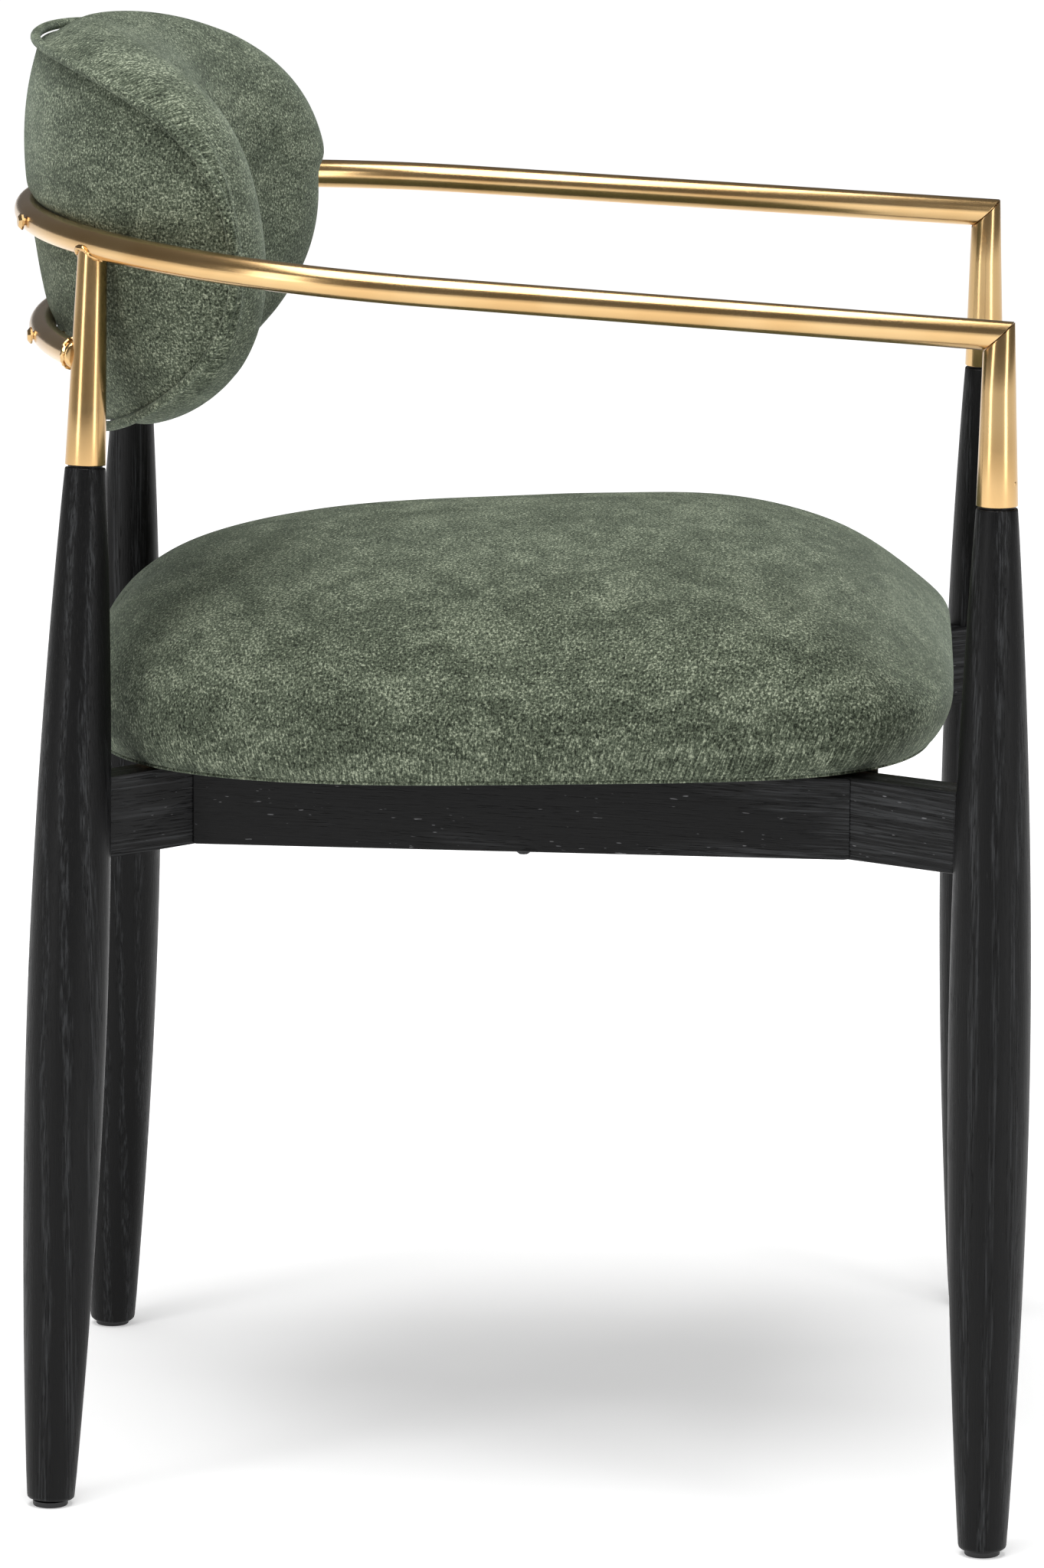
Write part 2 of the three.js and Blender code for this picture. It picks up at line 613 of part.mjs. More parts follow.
const backFrontCover = ringed(
  [...backSkin(-FABRIC - GAP, 0), ...backSkin(-FABRIC - GAP, FABRIC).reverse()],
  BACK_STEPS,
  backPlace,
);
const backRearCover = backLayer((share) => domeDepth(share) - FABRIC, domeDepth, SEAM_SPREAD);
const backRearPad = backLayer(
  () => boardRear + GAP,
  (share) => domeDepth(share) - FABRIC - GAP,
  REAR_PAD_SPREAD,
);
const backBoard = backLayer(
  () => boardFront,
  () => boardRear,
  BACK_BOARD_SPREAD,
);
const backFoam = ringed(
  [
    ...backSkin(rimDepth, FABRIC + WADDING),
    [recessSpread, rimDepth],
    ...[...BACK_RINGS, recessSpread].reverse().map((share) => [share, boardFront - GAP]),
  ],
  BACK_STEPS,
  backPlace,
);

// A round cord bent into a ring that follows the rear seam.
function pipingRing(sides, steps) {
  const made = new THREE.TorusGeometry(2 * PIPING_R, PIPING_R, sides, steps);
  const position = made.attributes.position;
  for (let k = 0; k < position.count; k++) {
    const [j, i] = [Math.floor(k / (steps + 1)), k % (steps + 1)];
    const t = (i % steps) / steps;
    const seam = backPlace(t, SEAM_SPREAD, 0);
    const run = backPlace(t + 1e-3, SEAM_SPREAD, 0).sub(backPlace(t - 1e-3, SEAM_SPREAD, 0)).normalize();
    const out = backPlace(t, SEAM_SPREAD, 1).sub(seam).normalize();
    const away = run.clone().cross(out);
    const roll = (2 * Math.PI * (j % sides)) / sides;
    seam.addScaledVector(away, PIPING_R + 2 * GAP + PIPING_R * Math.cos(roll));
    seam.addScaledVector(out, PIPING_RISE + PIPING_R * Math.sin(roll));
    position.setXYZ(k, seam.x, seam.y, seam.z);
  }
  return made;
}

// A level screw through a tube behind the back, square to its bend, which enters the back board by its bite.
function backScrew(centre, tubeRadius, bendY) {
  const direction = new THREE.Vector3(-centre.x, bendY - centre.y, 0).normalize();
  const start = centre.clone().addScaledVector(direction, -tubeRadius);
  const inverse = backFrame.clone().invert();
  const from = start.clone().applyMatrix4(inverse).add(new THREE.Vector3(0, backRadius, 0));
  const run = direction.clone().transformDirection(inverse);
  const [a, b] = [run.x ** 2 + run.y ** 2, from.x * run.x + from.y * run.y];
  const c = from.x ** 2 + from.y ** 2 - (backRadius + boardRear) ** 2;
  const reach = (-b - Math.sqrt(b ** 2 - a * c)) / a;
  return { start, direction, length: reach + BACK_SCREW_BITE };
}

const screwX = BEND_R * Math.sin(radians(BACK_SCREW_ANGLE));
const armPointAt = (x) => {
  const y = BEND_Y + Math.sqrt(BEND_R ** 2 - x ** 2);
  return new THREE.Vector3(x, y, armZ(y));
};
const lowerBendY = lowerEnd.y + LOWER_TUBE_BOW - LOWER_BEND_R;
const lowerPointAt = (x) => {
  const y = lowerBendY + Math.sqrt(LOWER_BEND_R ** 2 - x ** 2);
  return new THREE.Vector3(x, y, lowerEnd.z);
};
const upperScrews = [screwX, -screwX].map((x) => backScrew(armPointAt(x), TUBE_R, BEND_Y));
const lowerScrews = [screwX, -screwX].map((x) => backScrew(lowerPointAt(x), LOWER_TUBE_R, lowerBendY));
const upperHoles = upperScrews.map(screwHole);
const lowerHoles = lowerScrews.map(screwHole);
const backHoles = [...upperHoles, ...lowerHoles];

// ---- The chair
const FRONT_PIN_BEARING = -63; // degrees: forward and outward
const REAR_PIN_BEARING = 120; // backward and inward
const rearSleeveRoom = along(
  turned(
    [
      [0, rearSleeve.bottom],
      [rearSleeve.outer(rearSleeve.bottom) + GAP, rearSleeve.bottom],
      [rearSleeve.outer(rearAxis.length) + GAP, rearAxis.length],
      [0, rearAxis.length],
    ],
    LEG_SIDES,
  ),
  rearAxis.foot,
  rearAxis.direction,
);
const rearSleeveRoomRight = surface(solid(rearSleeveRoom).mirror([1, 0, 0]));

const armTube = cut(
  swept(armCurve, TUBE_R, TUBE_R - TUBE_WALL, ARM_STEPS),
  pastMitre(1),
  pastMitre(1, -1),
  ...upperHoles,
);
const lowerTube = cut(
  swept(lowerCurve, LOWER_TUBE_R, LOWER_TUBE_R - TUBE_WALL, 10),
  rearSleeveRoom,
  rearSleeveRoomRight,
  ...lowerHoles,
);
const frontSleeveBody = sleeve(
  frontAxis,
  frontSleeve,
  frontAxis.length + CORNER_OVERRUN,
  pastMitre(-1),
  sleevePin(frontAxis, frontSleeve, FRONT_PIN_BEARING, GAP),
);
const rearSleeveBody = sleeve(
  rearAxis,
  rearSleeve,
  rearAxis.length,
  armOutside(TUBE_R + GAP),
  sleevePin(rearAxis, rearSleeve, REAR_PIN_BEARING, GAP),
);

function corner(end, axis, shape, frame, bearing) {
  const joints = [stud(frame, GAP), dowel(frame, GAP)];
  return [
    ...pair(`leg_${end}`, "ash", leg(axis, shape, sleevePin(axis, shape, bearing, GAP), ...joints)),
    ...pair(`foot_glide_${end}`, "nylon", glide(axis)),
    ...pair(`sleeve_pin_${end}`, "brass", sleevePin(axis, shape, bearing)),
    ...pair(`corner_board_${end}`, "ash", cornerBoard(frame, axis, shape)),
    ...pair(`leg_stud_${end}`, "steel", stud(frame)),
    ...pair(`stud_nut_${end}`, "steel", studNut(frame)),
    ...pair(`leg_dowel_${end}`, "beech", dowel(frame)),
  ];
}

const chair = assembly(
  "dining_armchair",
  assembly(
    "legs_and_corners",
    corner("front", frontAxis, frontSleeve, frontCorner, FRONT_PIN_BEARING),
    corner("rear", rearAxis, rearSleeve, rearCorner, REAR_PIN_BEARING),
  ),
  assembly(
    "brasswork",
    piece("arm_tube", "brass", armTube),
    piece("lower_back_tube", "brass", lowerTube),
    pair("leg_sleeve_front", "brass", frontSleeveBody),
    pair("leg_sleeve_rear", "brass", rearSleeveBody),
  ),
  assembly(
    "seat_frame",
    piece("front_rail", "ash", cut(crossRail(frontCorner, -1), ...seatScrewHoles)),
    piece("rear_rail", "ash", cut(crossRail(rearCorner, 1), ...seatScrewHoles)),
    pair("side_rail", "ash", cut(sideRail, ...seatScrewHoles)),
  ),
  assembly(
    "seat",
    piece("seat_board", "plywood", cut(seatBoard, ...seatScrewHoles)),
    piece("seat_foam", "foam", seatFoam),
    piece("seat_cover", "fabric", seatCover),
    piece("dust_cover", "lining", cut(dustCover, ...seatScrewHoles)),
    piece("seat_screw_front", "steel", screw(frontScrew)),
    piece("seat_screw_rear", "steel", screw(rearScrew)),
    pair("seat_screw_side", "steel", screw(sideScrew)),
  ),
  assembly(
    "backrest",
    piece("back_board", "plywood", cut(backBoard, ...backHoles)),
    piece("back_foam", "foam", backFoam),
    piece("back_rear_pad", "foam", cut(backRearPad, ...backHoles)),
    piece("back_front_cover", "fabric", backFrontCover),
    piece("back_rear_cover", "fabric", cut(backRearCover, ...backHoles)),
    piece("back_piping", "fabric", pipingRing(6, 36)),
    pair("back_screw_upper", "steel", screw(upperScrews[0])),
    pair("back_screw_lower", "steel", screw(lowerScrews[0])),
  ),
);

export default chair;
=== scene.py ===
import json
from bisect import bisect_right
from itertools import accumulate
from math import acos, asin, atan, atan2, copysign, cos, exp, hypot, pi, radians, sin, sqrt

import bmesh
import bpy
from bpy.props import FloatProperty, FloatVectorProperty, PointerProperty
from mathutils import Matrix, Vector, noise


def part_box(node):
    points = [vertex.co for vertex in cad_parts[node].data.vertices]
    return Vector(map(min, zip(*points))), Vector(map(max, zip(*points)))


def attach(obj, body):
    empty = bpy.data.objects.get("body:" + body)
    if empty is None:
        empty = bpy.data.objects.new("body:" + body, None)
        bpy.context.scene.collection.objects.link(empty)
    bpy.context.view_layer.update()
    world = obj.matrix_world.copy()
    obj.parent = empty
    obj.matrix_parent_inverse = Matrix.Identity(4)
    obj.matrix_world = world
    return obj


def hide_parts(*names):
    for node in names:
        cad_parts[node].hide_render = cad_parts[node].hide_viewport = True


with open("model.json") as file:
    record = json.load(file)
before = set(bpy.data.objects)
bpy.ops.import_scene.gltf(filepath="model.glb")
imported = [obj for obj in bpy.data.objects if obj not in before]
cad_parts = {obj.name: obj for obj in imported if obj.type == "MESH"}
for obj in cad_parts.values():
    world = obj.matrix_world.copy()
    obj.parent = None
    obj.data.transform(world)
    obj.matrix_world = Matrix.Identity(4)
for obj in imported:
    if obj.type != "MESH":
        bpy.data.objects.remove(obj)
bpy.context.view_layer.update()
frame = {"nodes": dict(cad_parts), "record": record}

bl_info = {
    "name": "Dining armchair",
    "version": (1, 0),
    "blender": (4, 5, 0),
    "location": "3D View > Sidebar > Armchair",
    "description": "Builds the visible pieces of a dining armchair round its design frame",
    "category": "Object",
}

# Metres. The sitter faces -Y, +X is the sitter's left, and the floor is at Z = 0.
UP = Vector((0, 0, 1))
SIDES = {"left": 1, "right": -1}
ENDS = ("front", "rear")
MM = 0.001
ROUND_STEPS = 48
SIM_FRAMES = 20

SHADOW_GAP = 1.2 * MM  # between a leg's shoulder and its sleeve
SLEEVE_WALL = 1.4 * MM
OVERRUN = 24 * MM  # length that a mitre cuts away
GLIDE_HEIGHT = 3 * MM
RAIL_THICKNESS = 0.022
CORNER_BEARING = radians(51)  # of a corner board's grain


def length(name, about, default):
    return FloatProperty(name=name, description=about, default=default, unit="LENGTH")


def share(name, about, default):
    return FloatProperty(name=name, description=about, default=default, subtype="FACTOR")


def place(name, about, default):
    return FloatVectorProperty(name=name, description=about, default=default, size=3, subtype="XYZ")


def colour(name, about, default):
    return FloatVectorProperty(
        name=name, description=about, default=default, size=3, subtype="COLOR", min=0, max=1
    )


class ArmchairLegs(bpy.types.PropertyGroup):
    front_foot: place("Front foot", "Where the left front leg's axis meets the floor", (0.271, -0.2578, 0))
    front_top_x: length("Front top", "Half the distance between the tops of the front legs", 0.261)
    rear_foot: place("Rear foot", "Where the left rear leg's axis meets the floor", (0.199, 0.2455, 0))
    rear_top_x: length("Rear top", "Half the distance between the tops of the rear legs", 0.145)
    belly_height: length("Belly height", "Height of a leg's thickest point", 0.27)
    belly_radius: length("Belly radius", "Radius at the thickest point", 0.0217)
    foot_radius: length("Foot radius", "Radius at the floor", 0.0127)
    neck_radius: length("Neck radius", "Radius where a leg meets its sleeve", 0.011)


class ArmchairBrass(bpy.types.PropertyGroup):
    tube_radius: length("Arm radius", "Radius of the arm tube", 0.008)
    arm_height: length("Arm height", "Height of the tube's centre at its front corners", 0.652)
    arm_rise: share("Arm rise", "Climb of the arm towards the rear", 0.061)
    bend_radius: length("Bend radius", "Radius of the bend behind the back", 0.247)
    bend_y: length("Bend centre", "Y of the bend's centre", 0.024)
    sleeve_height: length("Sleeve height", "From a front sleeve's lower end to the arm", 0.089)
    lower_radius: length("Lower radius", "Radius of the lower back tube", 0.0075)
    lower_drop: length("Lower drop", "Lower back tube below the arm tube", 0.06)
    lower_bow: length("Lower bow", "Depth of the lower back tube's bend", 0.031)
    lower_setback: length("Lower setback", "Ends of the lower back tube behind the posts", 0.006)
    bead_radius: length("Bead radius", "Thickness of the weld beads", 0.0016)


class ArmchairSeat(bpy.types.PropertyGroup):
    frame_height: length("Frame height", "Top of the seat frame at Y = 0", 0.4028)
    frame_fall: share("Frame fall", "Fall of the frame towards the rear", 0.0342)
    edge_ease: length("Eased edge", "Rounding of the boards' edges", 0.0012)
    widest_height: length("Widest line", "Height of the cushion's widest line above the frame", 0.03)
    crown_height: length("Crown", "Height of the cushion's crown above the frame", 0.1105)
    crown_set: length("Crown set", "Crown behind the middle of the widest line", 0.034)
    taper: share("Taper", "Narrowing of each side towards the rear", 0.07)
    plump: length("Plump", "How far the filling may push the cover out", 0.009)
    hem_radius: length("Hem radius", "Thickness of the hem along the frame", 0.001)


class ArmchairBack(bpy.types.PropertyGroup):
    half_angle: FloatProperty(
        name="Half angle",
        description="Half of the arc that the backrest covers",
        default=radians(60.4),
        unit="ROTATION",
    )
    half_height: length("Half height", "Half of the backrest's height", 0.1107)
    radius: length("Radius", "Radius of the backrest's rear seam", 0.2245)
    centre: place("Centre", "Middle of the rear seam's cylinder face", (0, 0.2485, 0.6727))
    lean: FloatProperty(name="Lean", description="Backward lean", default=radians(9), unit="ROTATION")
    depth: length("Depth", "From the rear seam to the front face", 0.072)
    nose_depth: length("Nose depth", "From the rear seam to the widest line", 0.024)
    dome: length("Dome", "Bulge of the rear panel", 0.021)
    seam_share: share("Seam", "Rear seam, as a share of the widest line", 0.94)
    squareness: FloatProperty(
        name="Squareness", description="Power of the backrest's oval: 2 is round", default=2.3
    )
    left_slack: length("Left slack", "How far the left wing's lower padding stops short", 0.007)
    right_slack: length("Right slack", "How far the right wing's padding stops short", 0.02)
    piping_radius: length("Piping radius", "Thickness of the piping", 0.0028)
    plump: length("Plump", "How far the filling may push the covers out", 0.004)


class ArmchairFinish(bpy.types.PropertyGroup):
    brass: colour("Brass", "Colour of the brushed brass", (0.62, 0.42, 0.2))
    stain: colour("Stain", "Black stain of the ash", (0.0035, 0.0035, 0.0037))
    stain_worn: colour("Worn stain", "Stain where the grain shows through", (0.03, 0.031, 0.0325))
    pile_dark: colour("Dark pile", "Fabric in the hollows of the weave", (0.011, 0.014, 0.0085))
    pile_mid: colour("Pile", "Fabric's usual colour", (0.08, 0.097, 0.066))
    pile_light: colour("Light pile", "Fabric's brightest threads", (0.34, 0.375, 0.275))


class ArmchairStage(bpy.types.PropertyGroup):
    floor: colour("Floor", "Colour of the floor", (0.9, 0.9, 0.9))
    key_power: FloatProperty(name="Key light", description="Overhead light", default=76, unit="POWER")
    side_power: FloatProperty(
        name="Side lights", description="Tall lights by the camera", default=20, unit="POWER"
    )
    world: share("World", "Brightness of the room", 0.16)


# ---- Axes that the pieces share


def arm_z(y):
    """Height of the arm tube's centre."""
    tubes = bpy.context.scene.armchair_brass
    front_y = bpy.context.scene.armchair_legs.front_foot[1]
    return tubes.arm_height + tubes.arm_rise * (y - front_y)


class LegAxis:
    """The line from a foot on the floor to the centre of the arm tube."""

    def __init__(self, end, side):
        legs = bpy.context.scene.armchair_legs
        tubes = bpy.context.scene.armchair_brass
        if end == "front":
            foot, top_x, top_y = legs.front_foot, legs.front_top_x, legs.front_foot[1]
        else:
            foot, top_x = legs.rear_foot, legs.rear_top_x
            top_y = tubes.bend_y + sqrt(tubes.bend_radius**2 - top_x**2)
        self.foot = Vector((side * foot[0], foot[1], 0))
        self.top = Vector((side * top_x, top_y, arm_z(top_y)))
        self.direction = (self.top - self.foot).normalized()
        self.length = (self.top - self.foot).length
        low_z = arm_z(legs.front_foot[1]) - tubes.sleeve_height
        self.sleeve = self.length - (self.top.z - low_z) / self.direction.z
        self.shoulder = self.sleeve - SHADOW_GAP
        self.top_radius = tubes.tube_radius + (0.3 * MM if end == "front" else -0.3 * MM)

    def at(self, s):
        return self.foot + s * self.direction

    def leg_radius(self, s):
        legs = bpy.context.scene.armchair_legs
        if s > legs.belly_height:
            part = (s - legs.belly_height) / (self.shoulder - legs.belly_height)
            return legs.belly_radius - (legs.belly_radius - legs.neck_radius) * part**1.9
        part = (legs.belly_height - s) / legs.belly_height
        return legs.belly_radius - (legs.belly_radius - legs.foot_radius) * part**1.85

    def sleeve_radius(self, s):
        neck = bpy.context.scene.armchair_legs.neck_radius
        return neck + (self.top_radius - neck) * (s - self.sleeve) / (self.length - self.sleeve)


def each_leg():
    for end in ENDS:
        for name, side in SIDES.items():
            yield f"{end}_{name}", LegAxis(end, side)


# ---- Mesh work


def new_edges(made):
    """The edges of an extrusion's far side."""
    verts = {g for g in made if isinstance(g, bmesh.types.BMVert)}
    return [g for g in made if isinstance(g, bmesh.types.BMEdge) and verts.issuperset(g.verts)]


def pushed(bm, edges, by):
    made = bmesh.ops.extrude_edge_only(bm, edges=edges)["geom"]
    bmesh.ops.translate(bm, vec=by, verts=[g for g in made if isinstance(g, bmesh.types.BMVert)])
    return new_edges(made)


def closed(bm):
    bmesh.ops.remove_doubles(bm, verts=bm.verts, dist=1e-6)
    bmesh.ops.recalc_face_normals(bm, faces=bm.faces)


def turned(profile, steps=ROUND_STEPS):
    """A profile of (radius, height) points spun about Z."""
    bm = bmesh.new()
    chain = [bm.verts.new((r, 0, z)) for r, z in profile]
    edges = [bm.edges.new(ends) for ends in zip(chain, chain[1:])]
    bmesh.ops.spin(
        bm, geom=chain + edges, cent=(0, 0, 0), axis=UP, angle=2 * pi, steps=steps, use_merge=True
    )
    closed(bm)
    return bm


def along(bm, start, direction):
    """Moves a mesh from the Z axis to the line from a point along a direction."""
    turn = UP.rotation_difference(direction).to_matrix().to_4x4()
    bmesh.ops.transform(bm, matrix=Matrix.Translation(start) @ turn, verts=bm.verts)
    return bm


def rounded(radius, height, edge, facing=1, steps=3):
    """Profile points of a corner at (radius, height) rounded by an edge radius.

    facing is 1 at a top and -1 at a bottom."""
    angles = [radians(90) * k / steps for k in range(steps + 1)]
    points = [(radius - edge * (1 - cos(a)), height - facing * edge * (1 - sin(a))) for a in angles]
    return points if facing == 1 else points[::-1]


def cut_off(bm, point, normal, ease=0.0):
    """Cuts away what lies on the normal's side of a plane, closes the cut and eases its edge."""
    geometry = bm.verts[:] + bm.edges[:] + bm.faces[:]
    made = bmesh.ops.bisect_plane(bm, geom=geometry, plane_co=point, plane_no=normal, clear_outer=True)
    rim = [g for g in made["geom_cut"] if isinstance(g, bmesh.types.BMEdge)]
    caps = bmesh.ops.holes_fill(bm, edges=rim)["faces"]
    if ease:
        edges = list({e for face in caps for e in face.edges})
        eased(bm, edges, ease)


def eased(bm, edges, width, segments=2):
    bmesh.ops.bevel(
        bm,
        geom=edges,
        offset=width,
        affect="EDGES",
        segments=segments,
        profile=0.5,
        material=-1,
        clamp_overlap=True,
    )


def finished(name, bm, surface, nodes=(), sharp=35):
    """Makes the piece's object with its finish and body, and hides the CAD nodes that it stands for."""
    mesh = bpy.data.meshes.new(name)
    bm.to_mesh(mesh)
    bm.free()
    mesh.shade_smooth()
    mesh.set_sharp_from_angle(angle=radians(sharp))
    made = bpy.data.objects.new(name, mesh)
    bpy.context.scene.collection.objects.link(made)
    mesh.materials.append(surface)
    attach(made, "root")
    if nodes:
        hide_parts(*nodes)
    return made


# ---- Finishes


class Recipe:
    """A material whose shader nodes are added one after another."""

    def __init__(self, name):
        self.material = bpy.data.materials.new(name)
        self.material.use_nodes = True
        self.tree = self.material.node_tree
        self.shader = self.tree.nodes["Principled BSDF"]

    def add(self, kind, inputs=(), **settings):
        """Adds a node. inputs maps a socket's name or number to a value, or to another node's socket."""
        node = self.tree.nodes.new("ShaderNode" + kind)
        for key, value in settings.items():
            setattr(node, key, value)
        self.feed(node, inputs)
        return node

    def feed(self, node, inputs):
        for key, value in dict(inputs).items():
            if isinstance(value, bpy.types.NodeSocket):
                self.tree.links.new(value, node.inputs[key])
            else:
                node.inputs[key].default_value = value

    def coords(self, output="Object", scale=(1, 1, 1), turn=(0, 0, 0)):
        source = self.add("TexCoord").outputs[output]
        return self.add("Mapping", {"Vector": source, "Scale": scale, "Rotation": turn}).outputs["Vector"]

    def stretched(self, vector, scale):
        return self.add("Mapping", {"Vector": vector, "Scale": scale}).outputs["Vector"]

    def noise(self, vector, scale, detail=2.0, rough=0.5, warp=0.0):
        inputs = {"Vector": vector, "Scale": scale, "Detail": detail, "Roughness": rough}
        inputs["Distortion"] = warp
        return self.add("TexNoise", inputs).outputs["Fac"]

    def math(self, operation, a, b):
        return self.add("Math", {0: a, 1: b}, operation=operation).outputs[0]

    def ramp(self, value, low, high, to_low=0.0, to_high=1.0):
        inputs = {"Value": value, "From Min": low, "From Max": high, "To Min": to_low, "To Max": to_high}
        return self.add("MapRange", inputs, interpolation_type="SMOOTHSTEP").outputs[0]

    def mix(self, factor, a, b):
        node = self.add("Mix", data_type="RGBA")
        self.feed(node, {"Factor": factor})
        for socket, value in ((node.inputs[6], a), (node.inputs[7], b)):
            if isinstance(value, bpy.types.NodeSocket):
                self.tree.links.new(value, socket)
            else:
                socket.default_value = (*value, 1)
        return node.outputs[2]

    def bump(self, height, strength, distance, normal=None):
        inputs = {"Height": height, "Strength": strength, "Distance": distance}
        node = self.add("Bump", inputs)
        if normal:
            self.feed(node, {"Normal": normal})
        return node.outputs["Normal"]


def finish(name, recipe, *details):
    """The named material, made by its recipe the first time."""
    return bpy.data.materials.get(name) or recipe(name, *details)


# Turns that lay a grain, which runs along a texture's X, along a board or a tube.
ALONG_X = (0, 0, 0)
ALONG_Y = (0, 0, radians(-90))
ALONG_Z = (0, radians(90), 0)


def brass(name, turn):
    """Brass with a fine brushed grain and a satin lacquer."""
    colours = bpy.context.scene.armchair_finish
    r = Recipe(name)
    where = r.coords(turn=turn)
    brushing = r.noise(r.stretched(where, (60, 2600, 2600)), 1.0, detail=3)
    cloud = r.noise(where, 22, detail=2)
    warm = tuple(c * k for c, k in zip(colours.brass, (0.9, 0.84, 0.76)))
    r.feed(
        r.shader,
        {
            "Base Color": r.mix(r.ramp(cloud, 0.3, 0.7), tuple(colours.brass), warm),
            "Metallic": 1.0,
            "Roughness": r.math("ADD", r.math("MULTIPLY", brushing, 0.1), 0.17),
            "Normal": r.bump(brushing, 0.05, 0.05 * MM),
            "Coat Weight": 0.12,
            "Coat Roughness": 0.12,
        },
    )
    return r.material


def ash(name, turn, flecks):
    """Open-pored ash under a black stain, with grain, pores and the flecks that the stain left pale."""
    colours = bpy.context.scene.armchair_finish
    r = Recipe(name)
    where = r.coords(turn=turn)
    waves = r.add(
        "TexWave",
        {
            "Vector": r.stretched(where, (0.16, 1, 1)),
            "Scale": 26.0,
            "Distortion": 5.0,
            "Detail": 3.0,
            "Detail Scale": 1.1,
            "Detail Roughness": 0.55,
        },
        bands_direction="Y",
    ).outputs["Fac"]
    fibre = r.noise(r.stretched(where, (14, 900, 900)), 1.0, detail=4, rough=0.6)
    pores = r.noise(r.stretched(where, (70, 1500, 1500)), 1.0, detail=2)
    pore = r.math("MULTIPLY", r.ramp(pores, 0.56, 0.72), r.ramp(waves, 0.25, 0.75, 0.25, 1.0))
    fleck_noise = r.noise(r.stretched(where, (150, 900, 900)), 1.0, detail=1)
    fleck = r.math("MULTIPLY", r.ramp(fleck_noise, 0.74, 0.78), flecks)
    worn = r.math("MULTIPLY", r.ramp(fibre, 0.42, 0.68), r.ramp(waves, 0.45, 0.95))
    base = r.mix(worn, tuple(colours.stain), tuple(colours.stain_worn))
    base = r.mix(r.math("MULTIPLY", pore, 0.7), base, (0.003, 0.003, 0.003))
    base = r.mix(fleck, base, (0.12, 0.12, 0.125))
    relief = r.math("SUBTRACT", r.math("MULTIPLY", fibre, 0.5), pore)
    r.feed(
        r.shader,
        {
            "Base Color": base,
            "Roughness": r.math("ADD", r.math("MULTIPLY", pore, 0.25), r.ramp(fibre, 0.2, 0.8, 0.36, 0.46)),
            "Normal": r.bump(relief, 0.8, 0.35 * MM),
            "Specular IOR Level": 0.16,
        },
    )
    return r.material


def chenille(name):
    """Woven chenille: crossed threads under a short, mottled pile that catches the light at its edges."""
    colours = bpy.context.scene.armchair_finish
    r = Recipe(name)
    on_cloth = r.coords("UV")
    body = r.coords()
    warp = r.noise(r.stretched(on_cloth, (900, 480, 600)), 1.0, detail=2, rough=0.6)
    weft = r.noise(r.stretched(on_cloth, (480, 900, 600)), 1.0, detail=2, rough=0.6)
    pile = r.noise(body, 760, detail=2, rough=0.7)
    threads = r.math("MAXIMUM", warp, weft)
    patches = r.noise(r.stretched(body, (26, 26, 60)), 1.0, detail=4, rough=0.6, warp=0.5)
    brushed = r.noise(r.stretched(body, (70, 70, 200)), 1.0, detail=3, rough=0.65)
    light = r.math("ADD", r.math("MULTIPLY", threads, 0.55), r.math("MULTIPLY", pile, 0.45))
    cloud = r.math("ADD", r.math("MULTIPLY", patches, 0.6), r.math("MULTIPLY", brushed, 0.4))
    light = r.math("ADD", light, r.ramp(cloud, 0.34, 0.66, -0.036, 0.034))
    tone = r.mix(r.ramp(light, 0.4, 0.56), tuple(colours.pile_dark), tuple(colours.pile_mid))
    tone = r.mix(r.ramp(light, 0.53, 0.68), tone, tuple(colours.pile_light))
    relief = r.math("ADD", r.math("MULTIPLY", threads, 0.8), r.math("MULTIPLY", pile, 0.4))
    soft = r.bump(cloud, 0.3, 2 * MM)
    r.feed(
        r.shader,
        {
            "Base Color": tone,
            "Roughness": 0.95,
            "Specular IOR Level": 0.15,
            "Sheen Weight": 0.22,
            "Sheen Roughness": 0.42,
            "Sheen Tint": (0.72, 0.85, 0.7, 1),
            "Normal": r.bump(relief, 0.9, 0.8 * MM, soft),
        },
    )
    return r.material


def plain(name, tone, roughness, metallic=0.0, grain=(300, 300, 300), depth=0.1):
    """A quiet finish for pieces that are mostly out of sight, a little uneven in tone and relief."""
    r = Recipe(name)
    pattern = r.noise(r.coords(scale=grain), 1.0, detail=3)
    darker = tuple(0.7 * c for c in tone)
    r.feed(
        r.shader,
        {
            "Base Color": r.mix(r.ramp(pattern, 0.3, 0.7), darker, tone),
            "Metallic": metallic,
            "Roughness": r.ramp(pattern, 0.2, 0.8, roughness - 0.06, roughness + 0.06),
            "Normal": r.bump(pattern, 0.3, depth * MM),
        },
    )
    return r.material


# By material slot: a plain finish's name, tone, roughness, metal, grain and relief.
HIDDEN_FINISHES = {
    "steel": ("zinc_steel", (0.5, 0.51, 0.53), 0.35, 1.0),
    "beech": ("beech_dowel", (0.58, 0.38, 0.19), 0.65, 0.0, (60, 60, 900)),
    "plywood": ("birch_ply", (0.5, 0.34, 0.18), 0.7, 0.0, (20, 120, 1200)),
    "foam": ("upholstery_foam", (0.69, 0.64, 0.48), 0.95, 0.0, (700, 700, 700), 0.5),
    "lining": ("black_lining", (0.012, 0.012, 0.012), 0.9, 0.0, (1400, 1400, 1400), 0.2),
    "nylon": ("black_nylon", (0.012, 0.012, 0.013), 0.5),
}
# By material slot: a visible finish's name, recipe and details.
VISIBLE_FINISHES = {
    "black_ash": ("ash_plain", ash, ALONG_X, 0.5),
    "satin_brass": ("brass_upright", brass, ALONG_Z),
    "green_chenille": ("chenille", chenille),
}


def out_of_sight(slot):
    """The finish of a CAD node that stays as it is, by its material slot."""
    if slot in VISIBLE_FINISHES:
        return finish(*VISIBLE_FINISHES[slot])
    name, *details = HIDDEN_FINISHES[slot]
    return finish(name, plain, *details)


# ---- Legs and brasswork


